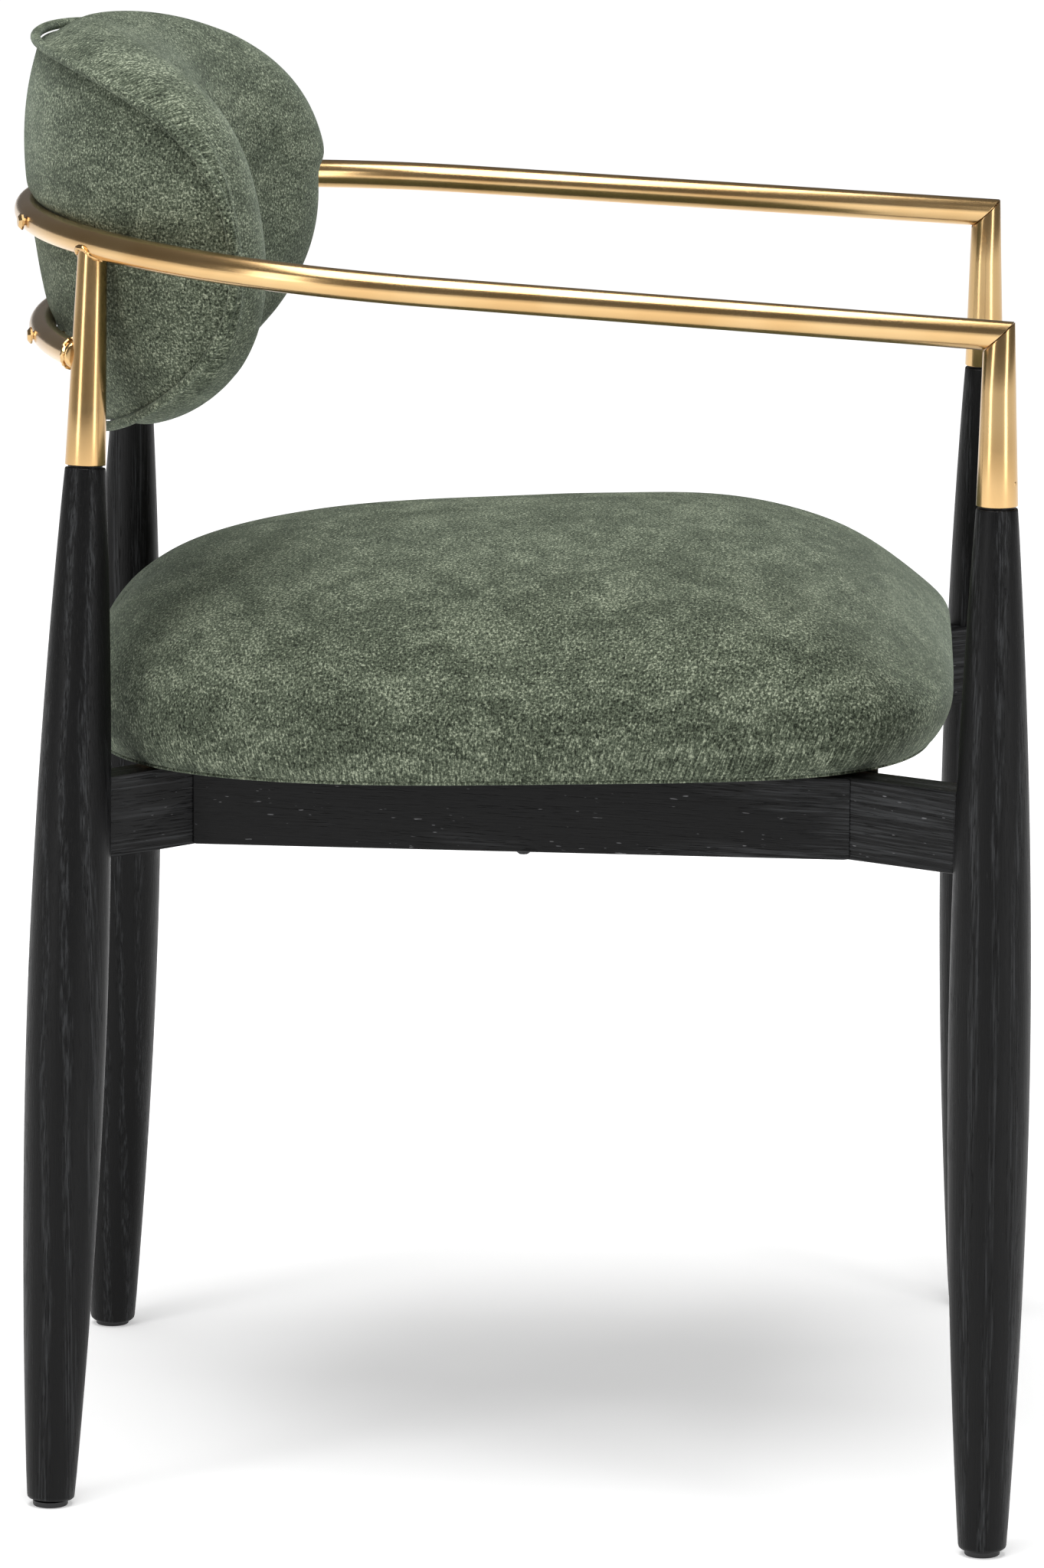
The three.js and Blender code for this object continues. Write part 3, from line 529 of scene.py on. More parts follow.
class ARMCHAIR_OT_legs(bpy.types.Operator):
    """Turn the four tapered legs and their glides"""

    bl_idname = "armchair.legs"
    bl_label = "Legs"

    def execute(self, context):
        for name, axis in each_leg():
            self.leg(name, axis)
            self.glide(name, axis)
        return {"FINISHED"}

    def leg(self, name, axis):
        low = GLIDE_HEIGHT + 0.3 * MM
        foot = axis.leg_radius(low)
        profile = [(0, low), *rounded(foot, low, 2.2 * MM, facing=-1)]
        stations = 44
        for k in range(1, stations):
            s = low + 2.2 * MM + (axis.shoulder - low - 2.2 * MM) * k / stations
            profile.append((axis.leg_radius(s), s))
        profile += rounded(axis.leg_radius(axis.shoulder), axis.shoulder, 0.9 * MM)
        tenon = axis.sleeve_radius(axis.sleeve) - SLEEVE_WALL - 0.3 * MM
        profile += [(tenon, axis.shoulder), (tenon, axis.sleeve + 6 * MM), (0, axis.sleeve + 6 * MM)]
        bm = along(turned(profile), axis.foot, axis.direction)
        stained = finish("ash_upright", ash, ALONG_Z, 0.05)
        finished(f"turned_leg_{name}", bm, stained, [f"leg_{name}"])

    def glide(self, name, axis):
        low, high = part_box(f"foot_glide_{name}")
        radius = (high.x - low.x) / 2
        profile = [(0, 0), *rounded(radius, 0, 0.8 * MM, facing=-1)]
        profile += [(radius, GLIDE_HEIGHT), (0, GLIDE_HEIGHT)]
        bm = along(turned(profile), axis.foot, UP)
        finished(f"glide_{name}", bm, out_of_sight("nylon"), [f"foot_glide_{name}"])


def mitre(axis, side):
    """The normal of the plane that halves the corner between an arm and the sleeve below it."""
    run, _, _ = arm_course()
    run = arm_plane().to_3x3() @ run
    run.x *= side
    return (-run - axis.direction).normalized()


def arm_plane():
    """The arm's own plane: its origin is the bend's centre, X runs across and Y along the arms."""
    tubes = bpy.context.scene.armchair_brass
    tilt = Matrix.Rotation(atan(tubes.arm_rise), 4, "X")
    return Matrix.Translation((0, tubes.bend_y, arm_z(tubes.bend_y))) @ tilt


def arm_course():
    """In the arm's plane: the straight's direction, its start and its bearing where it meets the bend."""
    scene = bpy.context.scene
    tubes, legs = scene.armchair_brass, scene.armchair_legs
    ahead = (legs.front_foot[1] - tubes.bend_y) / cos(atan(tubes.arm_rise))
    reach = hypot(legs.front_top_x, ahead)
    touch = atan2(ahead, legs.front_top_x) + acos(tubes.bend_radius / reach)
    run = Vector((-sin(touch), cos(touch), 0))
    return run, Vector((legs.front_top_x, ahead, 0)), touch


class ARMCHAIR_OT_arm(bpy.types.Operator):
    """Bend the arm tube round behind the back and mitre its front corners"""

    bl_idname = "armchair.arm"
    bl_label = "Arm tube"

    def execute(self, context):
        brass_sizes = context.scene.armchair_brass
        run, corner, touch = arm_course()
        bend = brass_sizes.bend_radius * Vector((cos(touch), sin(touch), 0))
        bm = bmesh.new()
        bmesh.ops.create_circle(bm, segments=ROUND_STEPS, radius=brass_sizes.tube_radius)
        start = corner - OVERRUN * run
        along(bm, start, run)
        rim = pushed(bm, bm.edges[:], bend - start)
        verts = list({v for e in rim for v in e.verts})
        made = bmesh.ops.spin(
            bm, geom=verts + rim, cent=(0, 0, 0), axis=UP, angle=pi - 2 * touch, steps=96
        )["geom_last"]
        rim = [g for g in made if isinstance(g, bmesh.types.BMEdge)]
        away = Vector((-run.x, run.y, 0))
        pushed(bm, rim, -(bend - start).length * away)
        bmesh.ops.transform(bm, matrix=arm_plane(), verts=bm.verts)
        for side in SIDES.values():
            axis = LegAxis("front", side)
            normal = mitre(axis, side)
            cut_off(bm, axis.top - 0.15 * MM * normal, normal, 0.45 * MM)
        closed(bm)
        finished("brass_arm", bm, finish("brass_arms", brass, ALONG_Y), ["arm_tube"])
        return {"FINISHED"}


class ARMCHAIR_OT_sleeves(bpy.types.Operator):
    """Turn the tapered sleeves, mitre the front ones and pin each to its leg"""

    bl_idname = "armchair.sleeves"
    bl_label = "Sleeves"

    def execute(self, context):
        for name, axis in each_leg():
            self.sleeve(name, axis)
            self.pin(name, axis)
        return {"FINISHED"}

    def sleeve(self, name, axis):
        front = name.startswith("front")
        end = axis.length + (OVERRUN if front else -2 * MM)
        low = axis.sleeve
        outer = axis.sleeve_radius(low)
        inner = outer - SLEEVE_WALL
        profile = [(0, low + 7 * MM), (inner, low + 7 * MM), (inner, low)]
        profile += rounded(outer, low, 0.5 * MM, facing=-1)
        profile += [(axis.sleeve_radius(s), s) for s in (low + 30 * MM, low + 60 * MM, end)]
        profile.append((0, end))
        bm = along(turned(profile), axis.foot, axis.direction)
        if front:
            side = 1 if axis.foot.x > 0 else -1
            normal = mitre(axis, side)
            cut_off(bm, axis.top + 0.15 * MM * normal, -normal, 0.45 * MM)
            closed(bm)
        nodes = [f"leg_sleeve_{name}"]
        finished(f"brass_sleeve_{name}", bm, finish("brass_upright", brass, ALONG_Z), nodes)

    def pin(self, name, axis):
        low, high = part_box(f"sleeve_pin_{name}")
        s = axis.sleeve + 12 * MM
        centre = (low + high) / 2
        facing = centre - axis.at(s)
        facing.z = 0
        facing.normalize()
        radius = axis.sleeve_radius(s)
        profile = [(0, 0), (1.6 * MM, 0), (1.6 * MM, 3 * MM), (1.3 * MM, 3.3 * MM), (0, 3.5 * MM)]
        bm = along(turned(profile, 20), axis.at(s) + (radius - 3.2 * MM) * facing, facing)
        brushed = finish("brass_upright", brass, ALONG_Z)
        finished(f"pin_{name}", bm, brushed, [f"sleeve_pin_{name}"])


def lower_course():
    """The lower back tube's end on the left, its bend's centre and its bend's radius."""
    brass_sizes = bpy.context.scene.armchair_brass
    axis = LegAxis("rear", 1)
    s = (axis.top.z - brass_sizes.lower_drop) / axis.direction.z
    end = axis.at(s) + Vector((0, brass_sizes.lower_setback, 0))
    bow = brass_sizes.lower_bow
    bend = (end.x**2 + bow**2) / (2 * bow)
    return end, Vector((0, end.y + bow - bend, end.z)), bend


class ARMCHAIR_OT_lower_tube(bpy.types.Operator):
    """Bend the lower back tube between the rear posts"""

    bl_idname = "armchair.lower_tube"
    bl_label = "Lower back tube"

    def execute(self, context):
        radius = context.scene.armchair_brass.lower_radius
        end, centre, bend = lower_course()
        half = asin(end.x / bend)
        bm = bmesh.new()
        bmesh.ops.create_circle(bm, segments=ROUND_STEPS, radius=radius, cap_ends=True)
        cap = bm.faces[:]
        along(bm, end, Vector((-cos(half), sin(half), 0)))
        geometry = bm.verts[:] + bm.edges[:] + cap
        bmesh.ops.spin(bm, geom=geometry, cent=centre, axis=UP, angle=2 * half, steps=40)
        closed(bm)
        ends = [e for e in bm.edges if e.calc_face_angle(0) > radians(60)]
        eased(bm, ends, 2 * MM, 4)
        brushed = finish("brass_rail", brass, ALONG_X)
        finished("brass_back_rail", bm, brushed, ["lower_back_tube"])
        return {"FINISHED"}


class ARMCHAIR_OT_welds(bpy.types.Operator):
    """Lay the weld beads where the tubes meet the rear posts"""

    bl_idname = "armchair.welds"
    bl_label = "Weld beads"

    def execute(self, context):
        sizes = context.scene.armchair_brass
        for name, side in SIDES.items():
            axis = LegAxis("rear", side)
            tangent = Vector((-(axis.top.y - sizes.bend_y), axis.top.x, 0)).normalized()
            post_radius = axis.sleeve_radius(axis.length - sizes.tube_radius)
            bead = self.bead(axis.top, -axis.direction, tangent, post_radius, sizes.tube_radius)
            finished(f"weld_arm_{name}", bead, finish("brass_weld", brass, ALONG_X))
            end, centre, _ = lower_course()
            away = Vector((-(end.y - centre.y), end.x, 0)).normalized()
            end.x *= side
            away.x *= side
            s = end.z / axis.direction.z
            post_radius = axis.sleeve_radius(s) - 1.5 * MM
            bead = self.bead(end, away, axis.direction, sizes.lower_radius, post_radius)
            finished(f"weld_rail_{name}", bead, finish("brass_weld", brass, ALONG_X))
        return {"FINISHED"}

    def bead(self, point, direction, tube, radius, tube_radius):
        """A lumpy ring round a rod that ends on a tube, which passes through the point."""
        size = bpy.context.scene.armchair_brass.bead_radius
        bm = bmesh.new()
        ring = bmesh.ops.create_circle(bm, segments=12, radius=size)["verts"]
        upright = Matrix.Rotation(radians(90), 4, "X")
        bmesh.ops.transform(bm, matrix=Matrix.Translation((radius, 0, 0)) @ upright, verts=ring)
        geometry = bm.verts[:] + bm.edges[:]
        bmesh.ops.spin(bm, geom=geometry, cent=(0, 0, 0), axis=UP, angle=2 * pi, steps=72, use_merge=True)
        closed(bm)
        across = tube.cross(direction).normalized()
        turn = UP.rotation_difference(direction)
        for v in bm.verts:
            outward = Vector((v.co.x, v.co.y, 0)).normalized()
            aside = radius * (turn @ outward).dot(across)
            lift = sqrt(max(tube_radius**2 - aside**2, (0.35 * tube_radius) ** 2))
            lump = 0.45 * noise.noise(Vector((v.co.x, v.co.y, 0)) * 700 + point * 90)
            middle = radius * outward
            v.co = middle + (1 + lump) * (v.co - middle)
            v.co.z += lift
        return along(bm, point, direction)


# ---- Seat frame


def whole_faces(node):
    """A copy of a CAD node's solid with its triangles merged into whole faces."""
    bm = bmesh.new()
    bm.from_mesh(frame["nodes"][node].data)
    bmesh.ops.remove_doubles(bm, verts=bm.verts, dist=1e-6)
    bmesh.ops.dissolve_limit(bm, angle_limit=radians(1), verts=bm.verts, edges=bm.edges)
    return bm


class ARMCHAIR_OT_seat_frame(bpy.types.Operator):
    """Ease the edges of the rails and corner boards and give each its own grain"""

    bl_idname = "armchair.seat_frame"
    bl_label = "Seat frame"

    def execute(self, context):
        self.board("front_rail", 0)
        self.board("rear_rail", 0)
        low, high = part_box("side_rail_left")
        lean = atan2(-(high.x - low.x) + RAIL_THICKNESS, high.y - low.y)
        for name, side in SIDES.items():
            self.board(f"side_rail_{name}", radians(90) - side * lean)
            self.board(f"corner_board_front_{name}", -side * CORNER_BEARING)
            self.board(f"corner_board_rear_{name}", side * CORNER_BEARING)
        return {"FINISHED"}

    def board(self, node, bearing):
        ease = bpy.context.scene.armchair_seat.edge_ease
        bm = whole_faces(node)
        long_enough = 14 * MM
        edges = [
            e for e in bm.edges if e.calc_face_angle(0) > radians(40) and e.calc_length() > long_enough
        ]
        eased(bm, edges, ease)
        turn = (0, 0, -bearing)
        finished(f"board_{node}", bm, finish(f"ash_{node}", ash, turn, 1.0), [node], sharp=25)


# ---- Upholstery


class Course:
    """A run of (share, height) points that is followed by distance.

    reach is the length that a share of 1 stands for."""

    def __init__(self, points, reach):
        self.points = points
        steps = [hypot((b[0] - a[0]) * reach, b[1] - a[1]) for a, b in zip(points, points[1:])]
        self.marks = [0, *accumulate(steps)]

    def at(self, part):
        distance = part * self.marks[-1]
        k = min(bisect_right(self.marks, distance), len(self.marks) - 1) - 1
        f = (distance - self.marks[k]) / (self.marks[k + 1] - self.marks[k])
        return tuple(a + f * (b - a) for a, b in zip(self.points[k], self.points[k + 1]))


def quarter(low, high, power, height_power, steps=48):
    """A square-shouldered quarter of an oval, from (0, high) at its crown to (1, low) at its rim."""
    angles = [radians(90) * k / steps for k in range(steps + 1)]
    rise = high - low
    return [(sin(a) ** (2 / power), low + rise * max(cos(a), 0) ** (2 / height_power)) for a in angles]


def pad(cells, crown, skirt, put):
    """A closed pad: a grid over the crown, the skirt's rings from its rim, and a second grid as the base.

    put(turn, share, height) gives the place of a point, and turn runs from 0 to 2 pi."""
    bm = bmesh.new()
    turns = bm.verts.layers.float.new("turn")
    made = bmesh.ops.create_grid(bm, x_segments=cells, y_segments=cells, size=1)["verts"]
    rim = [e for e in bm.edges if e.is_boundary]
    base = bmesh.ops.create_grid(bm, x_segments=cells, y_segments=cells, size=1)["verts"]
    lay(made, turns, crown, put)
    lay(base, turns, Course([(0, skirt[-1][1]), skirt[-1]], 0.2), put)
    for ring_share, height in skirt:
        made = bmesh.ops.extrude_edge_only(bm, edges=rim)["geom"]
        for v in made:
            if isinstance(v, bmesh.types.BMVert):
                v.co = put(v[turns], ring_share, height)
        rim = new_edges(made)
    closed(bm)
    return bm


def lay(verts, turns, course, put):
    """Lays a square grid's points on the rings of a round one."""
    for v in verts:
        x, y = v.co.x, v.co.y
        ring = max(abs(x), abs(y))
        if ring == 0:
            turn = 0
        elif abs(x) >= abs(y):
            turn = radians(45) * y / x + (pi if x < 0 else 0)
        else:
            turn = radians(90) - radians(45) * x / y + (pi if y < 0 else 0)
        v[turns] = turn
        v.co = put(turn, *course.at(min(ring, 1)))


def plumped(made, firm, limit, pressure=4.0):
    """Fills a pad by cloth simulation.

    firm(vertex) says what is held, and no point moves further than the limit."""
    mesh = made.data
    held = made.vertex_groups.new(name="held")
    held.add([v.index for v in mesh.vertices if firm(v)], 1.0, "REPLACE")
    cloth = made.modifiers.new("filling", "CLOTH")
    cloth.settings.quality = 5
    cloth.settings.mass = 0.35
    cloth.settings.tension_stiffness = 25
    cloth.settings.compression_stiffness = 25
    cloth.settings.shear_stiffness = 12
    cloth.settings.bending_stiffness = 3
    cloth.settings.use_pressure = True
    cloth.settings.uniform_pressure_force = pressure
    cloth.settings.effector_weights.gravity = 0
    cloth.settings.vertex_group_mass = "held"
    cloth.point_cache.frame_start = 1
    cloth.point_cache.frame_end = SIM_FRAMES
    scene = bpy.context.scene
    for step in range(1, SIM_FRAMES + 1):
        scene.frame_set(step)
    shaped = made.evaluated_get(bpy.context.evaluated_depsgraph_get()).data
    moves = [b.co - a.co for a, b in zip(mesh.vertices, shaped.vertices)]
    made.modifiers.remove(cloth)
    made.vertex_groups.remove(held)
    scene.frame_set(1)
    for v, move in zip(mesh.vertices, moves):
        v.co += move * min(1, limit / max(move.length, 1e-9))


def relaxed(made, rounds, free):
    """Evens out the small steps that a simulation leaves."""
    bm = bmesh.new()
    bm.from_mesh(made.data)
    verts = [v for v in bm.verts if free(v)]
    for _ in range(rounds):
        bmesh.ops.smooth_vert(
            bm, verts=verts, factor=0.5, use_axis_x=True, use_axis_y=True, use_axis_z=True
        )
    bm.to_mesh(made.data)
    bm.free()


def cloth_map(made, flat):
    """Gives the cloth its own coordinates, in metres: flat(point) is (across, down, away)."""
    mesh = made.data
    layer = mesh.uv_layers.new(name="cloth")
    blend = 1.35
    for loop in mesh.loops:
        across, down, away = flat(mesh.vertices[loop.vertex_index].co)
        reach = max(hypot(across, down), 1e-6)
        run = (reach**blend + max(away, 0) ** blend) ** (1 / blend)
        layer.data[loop.index].uv = (across * run / reach, down * run / reach)


def subdivided(made, levels):
    smooth = made.modifiers.new("smooth", "SUBSURF")
    smooth.levels = levels
    smooth.render_levels = levels


def ringed(radius, course, sides=14, steps=240):
    """A cord of a radius laid round a course: course(turn) is (place, outward, sideways)."""
    bm = bmesh.new()
    ring = bmesh.ops.create_circle(bm, segments=sides, radius=radius)["verts"]
    upright = Matrix.Rotation(radians(90), 4, "X")
    bmesh.ops.transform(bm, matrix=Matrix.Translation((1, 0, 0)) @ upright, verts=ring)
    geometry = bm.verts[:] + bm.edges[:]
    bmesh.ops.spin(bm, geom=geometry, cent=(0, 0, 0), axis=UP, angle=2 * pi, steps=steps, use_merge=True)
    closed(bm)
    places = {}
    for v in bm.verts:
        turn = atan2(v.co.y, v.co.x)
        spot, outward, sideways = course(turn)
        offset = hypot(v.co.x, v.co.y) - 1
        places[v] = spot + offset * sideways + v.co.z * outward
    for v, spot in places.items():
        v.co = spot
    bmesh.ops.recalc_face_normals(bm, faces=bm.faces)
    return bm


SEAT_HALF_WIDTH = 0.232
FRONT_SQUARENESS = 5.2  # power of the outline's oval: 2 is round
REAR_SQUARENESS = 2.9
# How the crown leaves its oval along Y: rise, middle and spread of each swell, in metres.
FULL_FRONT = (0.0075, -0.118, 0.062)
FALLEN_EDGE = (-0.024, -0.24, 0.036)
REAR_RISE = 0.0052
REAR_SPREAD = 0.12
BLEND_HEIGHT = 0.04  # the crown's rise comes in over this height above the widest line
BASE_RING = 0.9395  # share of the outline where the cushion turns under
HEM_RING = 0.9535


def swell(y, rise, middle, spread):
    return rise * exp(-(((y - middle) / spread) ** 2))


class SeatShape:
    """The seat cushion's outline, which narrows to the rear and grows rounder towards the crown."""

    def __init__(self):
        self.sizes = bpy.context.scene.armchair_seat
        low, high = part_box("seat_cover")
        self.middle = (low.y + high.y) / 2
        self.half_depth = (high.y - low.y) / 2
        self.half_width = SEAT_HALF_WIDTH

    def frame_top(self, y):
        return self.sizes.frame_height - self.sizes.frame_fall * y

    def put(self, turn, ring, height, drawn=0.0):
        """drawn is how far the shape is drawn in, for a pad that is yet to be filled."""
        squareness = FRONT_SQUARENESS if sin(turn) < 0 else REAR_SQUARENESS
        power = 2 + (squareness - 2) * ring**6
        depth, width = self.half_depth - drawn, self.half_width - drawn
        reach = ((abs(cos(turn)) / width) ** power + (abs(sin(turn)) / depth) ** power) ** (-1 / power)
        y = reach * sin(turn)
        x = reach * cos(turn) * (1 - self.sizes.taper * y / width)
        y = self.middle + self.sizes.crown_set * (1 - ring**2) + ring * y
        return Vector((ring * x, y, self.frame_top(y) + height + self.lift(y) * self.above(height)))

    def above(self, height):
        """0 up to the widest line, and 1 well above it."""
        return min(1, max(0, (height - self.sizes.widest_height) / BLEND_HEIGHT))

    def lift(self, y):
        """What the crown rises by. Its front third is fuller, its edge falls away, its rear is fuller."""
        front = swell(y, *FULL_FRONT)
        edge = swell(y, *FALLEN_EDGE)
        rear = REAR_RISE * (1 - exp(-((y / REAR_SPREAD) ** 2))) if y > 0 else 0
        return front + edge + rear


class ARMCHAIR_OT_seat(bpy.types.Operator):
    """Fill the domed seat cushion and lay the hem along the frame"""

    bl_idname = "armchair.seat"
    bl_label = "Seat"

    def execute(self, context):
        sizes = context.scene.armchair_seat
        shape = SeatShape()
        drawn = 0.25 * sizes.plump
        crown = Course(quarter(sizes.widest_height, sizes.crown_height - drawn, 2.35, 2.35), 0.235)

        def tuck(height):
            return 1 - 0.05 * (1 - height / sizes.widest_height) ** 2

        heights = [k * sizes.widest_height for k in (0.8, 0.6, 0.42, 0.27, 0.15)]
        skirt = [(tuck(height), height) for height in heights]
        low = 1.4 * MM
        skirt += [(tuck(low), 2.4 * MM), (tuck(low) - 0.004, low), (BASE_RING, low)]
        under = 13.7 * MM
        skirt += [(BASE_RING, under), (0.9, under)]

        def put(turn, ring, height):
            full = 0.5 * sizes.widest_height
            held = drawn if height > full else drawn * height / full
            return shape.put(turn, ring, height, max(held, 0) if ring > BASE_RING else drawn)

        bm = pad(64, crown, skirt, put)
        cloth = finish("chenille", chenille)
        seat = finished("seat_cushion", bm, cloth, ["seat_cover", "seat_foam"], sharp=180)

        def height_of(point):
            return point.z - shape.frame_top(point.y)

        plumped(seat, lambda v: height_of(v.co) < 14 * MM, sizes.plump)
        relaxed(seat, 2, lambda v: height_of(v.co) > 20 * MM)
        crown_y = shape.middle + sizes.crown_set
        top = sizes.crown_height
        cloth_map(seat, lambda p: (p.x, p.y - crown_y, top - height_of(p)))
        subdivided(seat, 1)
        self.hem(shape, cloth)
        return {"FINISHED"}

    def hem(self, shape, cloth):
        sizes = bpy.context.scene.armchair_seat
        def course(turn):
            spot = shape.put(turn, HEM_RING, 2.2 * MM)
            run = shape.put(turn + 1e-3, HEM_RING, 2.2 * MM) - shape.put(turn - 1e-3, HEM_RING, 2.2 * MM)
            return spot, UP, run.normalized().cross(UP)

        bm = ringed(sizes.hem_radius, course, sides=10, steps=300)
        hem = finished("seat_hem", bm, cloth, sharp=180)
        cloth_map(hem, lambda p: (p.x, p.y, 0.1))


class BackShape:
    """The backrest's outline: an oval bent round the axis of the arm's bend, and leant back."""

    def __init__(self):
        self.sizes = bpy.context.scene.armchair_back
        self.lean = Matrix.Translation(self.sizes.centre) @ Matrix.Rotation(-self.sizes.lean, 4, "X")
        self.unlean = self.lean.inverted()

    def bent(self, angle, height, depth):
        r = self.sizes.radius + depth
        return self.lean @ Vector((r * sin(angle), r * cos(angle) - self.sizes.radius, height))

    def put(self, turn, ring, depth):
        across, up = (copysign(abs(v) ** (2 / self.sizes.squareness), v) for v in (cos(turn), sin(turn)))
        angle = ring * self.sizes.half_angle * across
        spot = self.bent(angle, ring * self.sizes.half_height * up, depth)
        slack = (self.sizes.left_slack if up < 0 else 0) if angle > 0 else self.sizes.right_slack
        nose = min(1, max(0, -depth / self.sizes.nose_depth))
        spot.y += slack * nose * (angle / self.sizes.half_angle) ** 4
        return spot

    def flat(self, point):
        """(angle, height, depth) of a point."""
        p = self.unlean @ point
        r = hypot(p.x, p.y + self.sizes.radius)
        return atan2(p.x, p.y + self.sizes.radius), p.z, r - self.sizes.radius


class ARMCHAIR_OT_back_front(bpy.types.Operator):
    """Fill the front of the backrest"""

    bl_idname = "armchair.back_front"
    bl_label = "Backrest front"

    def execute(self, context):
        sizes = context.scene.armchair_back
        shape = BackShape()
        drawn = 0.3 * sizes.plump
        face = quarter(sizes.nose_depth, sizes.depth - drawn, 6, 2.5)
        crown = Course([(ring, -depth) for ring, depth in face], 0.16)
        nose = sizes.nose_depth

        def flank(part):
            swell = part * part * (3 - 2 * part)
            return sizes.seam_share + (1 - sizes.seam_share) * swell

        skirt = [(flank(part), -part * nose) for part in (0.88, 0.76, 0.64, 0.52, 0.4, 0.28, 0.18)]
        skirt += [(sizes.seam_share - 0.004, -2.2 * MM), (sizes.seam_share - 0.016, -1.4 * MM)]
        skirt += [(sizes.seam_share - 0.03, -1 * MM), (0.8, -1 * MM)]
        bm = pad(56, crown, skirt, shape.put)
        cloth = finish("chenille", chenille)
        nodes = ["back_front_cover", "back_foam"]
        front = finished("back_cushion", bm, cloth, nodes, sharp=180)
        plumped(front, lambda v: shape.flat(v.co)[2] > -11 * MM, sizes.plump, 3.0)
        relaxed(front, 2, lambda v: shape.flat(v.co)[2] < -14 * MM)

        def spread(point):
            angle, height, depth = shape.flat(point)
            return angle * (sizes.radius - 0.04), height, sizes.depth + depth

        cloth_map(front, spread)
        subdivided(front, 1)
        return {"FINISHED"}


class ARMCHAIR_OT_back_rear(bpy.types.Operator):
    """Fill the rear panel of the backrest, pressed in by the tubes, and lay the piping round its seam"""

    bl_idname = "armchair.back_rear"
    bl_label = "Backrest rear and piping"

    def execute(self, context):
        sizes = context.scene.armchair_back
        shape = BackShape()
        drawn = 0.3 * sizes.plump
        seam = sizes.seam_share
        steps = 24
        rise = sizes.dome - drawn
        dome = [(seam * k / steps, rise * (1 - (k / steps) ** 2.8)) for k in range(steps + 1)]
        crown = Course(dome, 0.16)
        skirt = [(seam + 0.002, -0.5 * MM), (seam - 0.01, -0.8 * MM), (seam - 0.1, -0.8 * MM)]
        bm = pad(56, crown, skirt, shape.put)
        cloth = finish("chenille", chenille)
        nodes = ["back_rear_cover", "back_rear_pad"]
        rear = finished("back_panel", bm, cloth, nodes, sharp=180)
        plumped(rear, lambda v: shape.flat(v.co)[2] < 1 * MM, sizes.plump, 3.0)
        relaxed(rear, 1, lambda v: shape.flat(v.co)[2] > 3 * MM)
        self.press(rear)
        relaxed(rear, 2, lambda v: shape.flat(v.co)[2] > 3 * MM)
        self.press(rear)
        cloth_map(rear, lambda p: (shape.flat(p)[0] * sizes.radius, shape.flat(p)[1], 0))
        subdivided(rear, 1)
        self.piping(shape, cloth)
        return {"FINISHED"}

    def press(self, rear):
        """Moves the cover forward where a tube lies against it."""
        brass_sizes = bpy.context.scene.armchair_brass
        _, lower_centre, lower_bend = lower_course()
        clearance = 0.6 * MM
        arm_centre = Vector((0, brass_sizes.bend_y, 0))
        tubes = (
            (arm_centre, brass_sizes.bend_radius, brass_sizes.tube_radius, None),
            (lower_centre, lower_bend, brass_sizes.lower_radius, lower_centre.z),
        )
        for v in rear.data.vertices:
            for centre, bend, radius, level in tubes:
                out = Vector((v.co.x - centre.x, v.co.y - centre.y, 0))
                rise = v.co.z - (arm_z(v.co.y) if level is None else level)
                room = radius + clearance
                if abs(rise) >= room:
                    continue
                surface = bend - sqrt(room**2 - rise**2)
                if out.length > surface:
                    v.co -= out.normalized() * (out.length - surface)

    def piping(self, shape, cloth):
        sizes = bpy.context.scene.armchair_back
        radius = sizes.piping_radius
        ring = sizes.seam_share

        def course(turn):
            seam = shape.put(turn, ring, 0)
            run = (shape.put(turn + 1e-3, ring, 0) - shape.put(turn - 1e-3, ring, 0)).normalized()
            outward = (shape.put(turn, ring, MM) - seam).normalized()
            sideways = outward.cross(run)
            return seam + (radius + 0.4 * MM) * sideways + 1.4 * MM * outward, outward, sideways

        bm = ringed(radius, course)
        piping = finished("back_piping_cord", bm, cloth, ["back_piping"], sharp=180)
        cloth_map(piping, lambda p: (shape.flat(p)[0] * sizes.radius, shape.flat(p)[1], 0))


# ---- Hidden hardware and the stage

CAMERA_PLACE = (-4.78837, -0.18252, 1.27623)
CAMERA_AHEAD = (0.98165, 0.03575, -0.18731)
CAMERA_ROLL = 0.00476  # radians
FOCAL_LENGTH = 201.55  # millimetres, on a 36 mm sensor
LENS_SHIFT = -0.0083


class ARMCHAIR_OT_hardware(bpy.types.Operator):
    """Give the screws, studs, boards and lining their finishes"""

    bl_idname = "armchair.hardware"
    bl_label = "Hardware"

    def execute(self, context):
        slots = {part["node"]: part["material_slot"] for part in frame["record"]["subparts"]}
        for node, made in frame["nodes"].items():
            if node.startswith("back_screw"):
                material = out_of_sight("satin_brass")
            elif node.startswith("seat_screw"):
                material = finish("black_screw", plain, (0.03, 0.03, 0.032), 0.45, 1.0)
            else:
                material = out_of_sight(slots[node])
            for holder in made.material_slots:
                holder.material = material
            if not made.material_slots:
                made.data.materials.append(material)
        return {"FINISHED"}


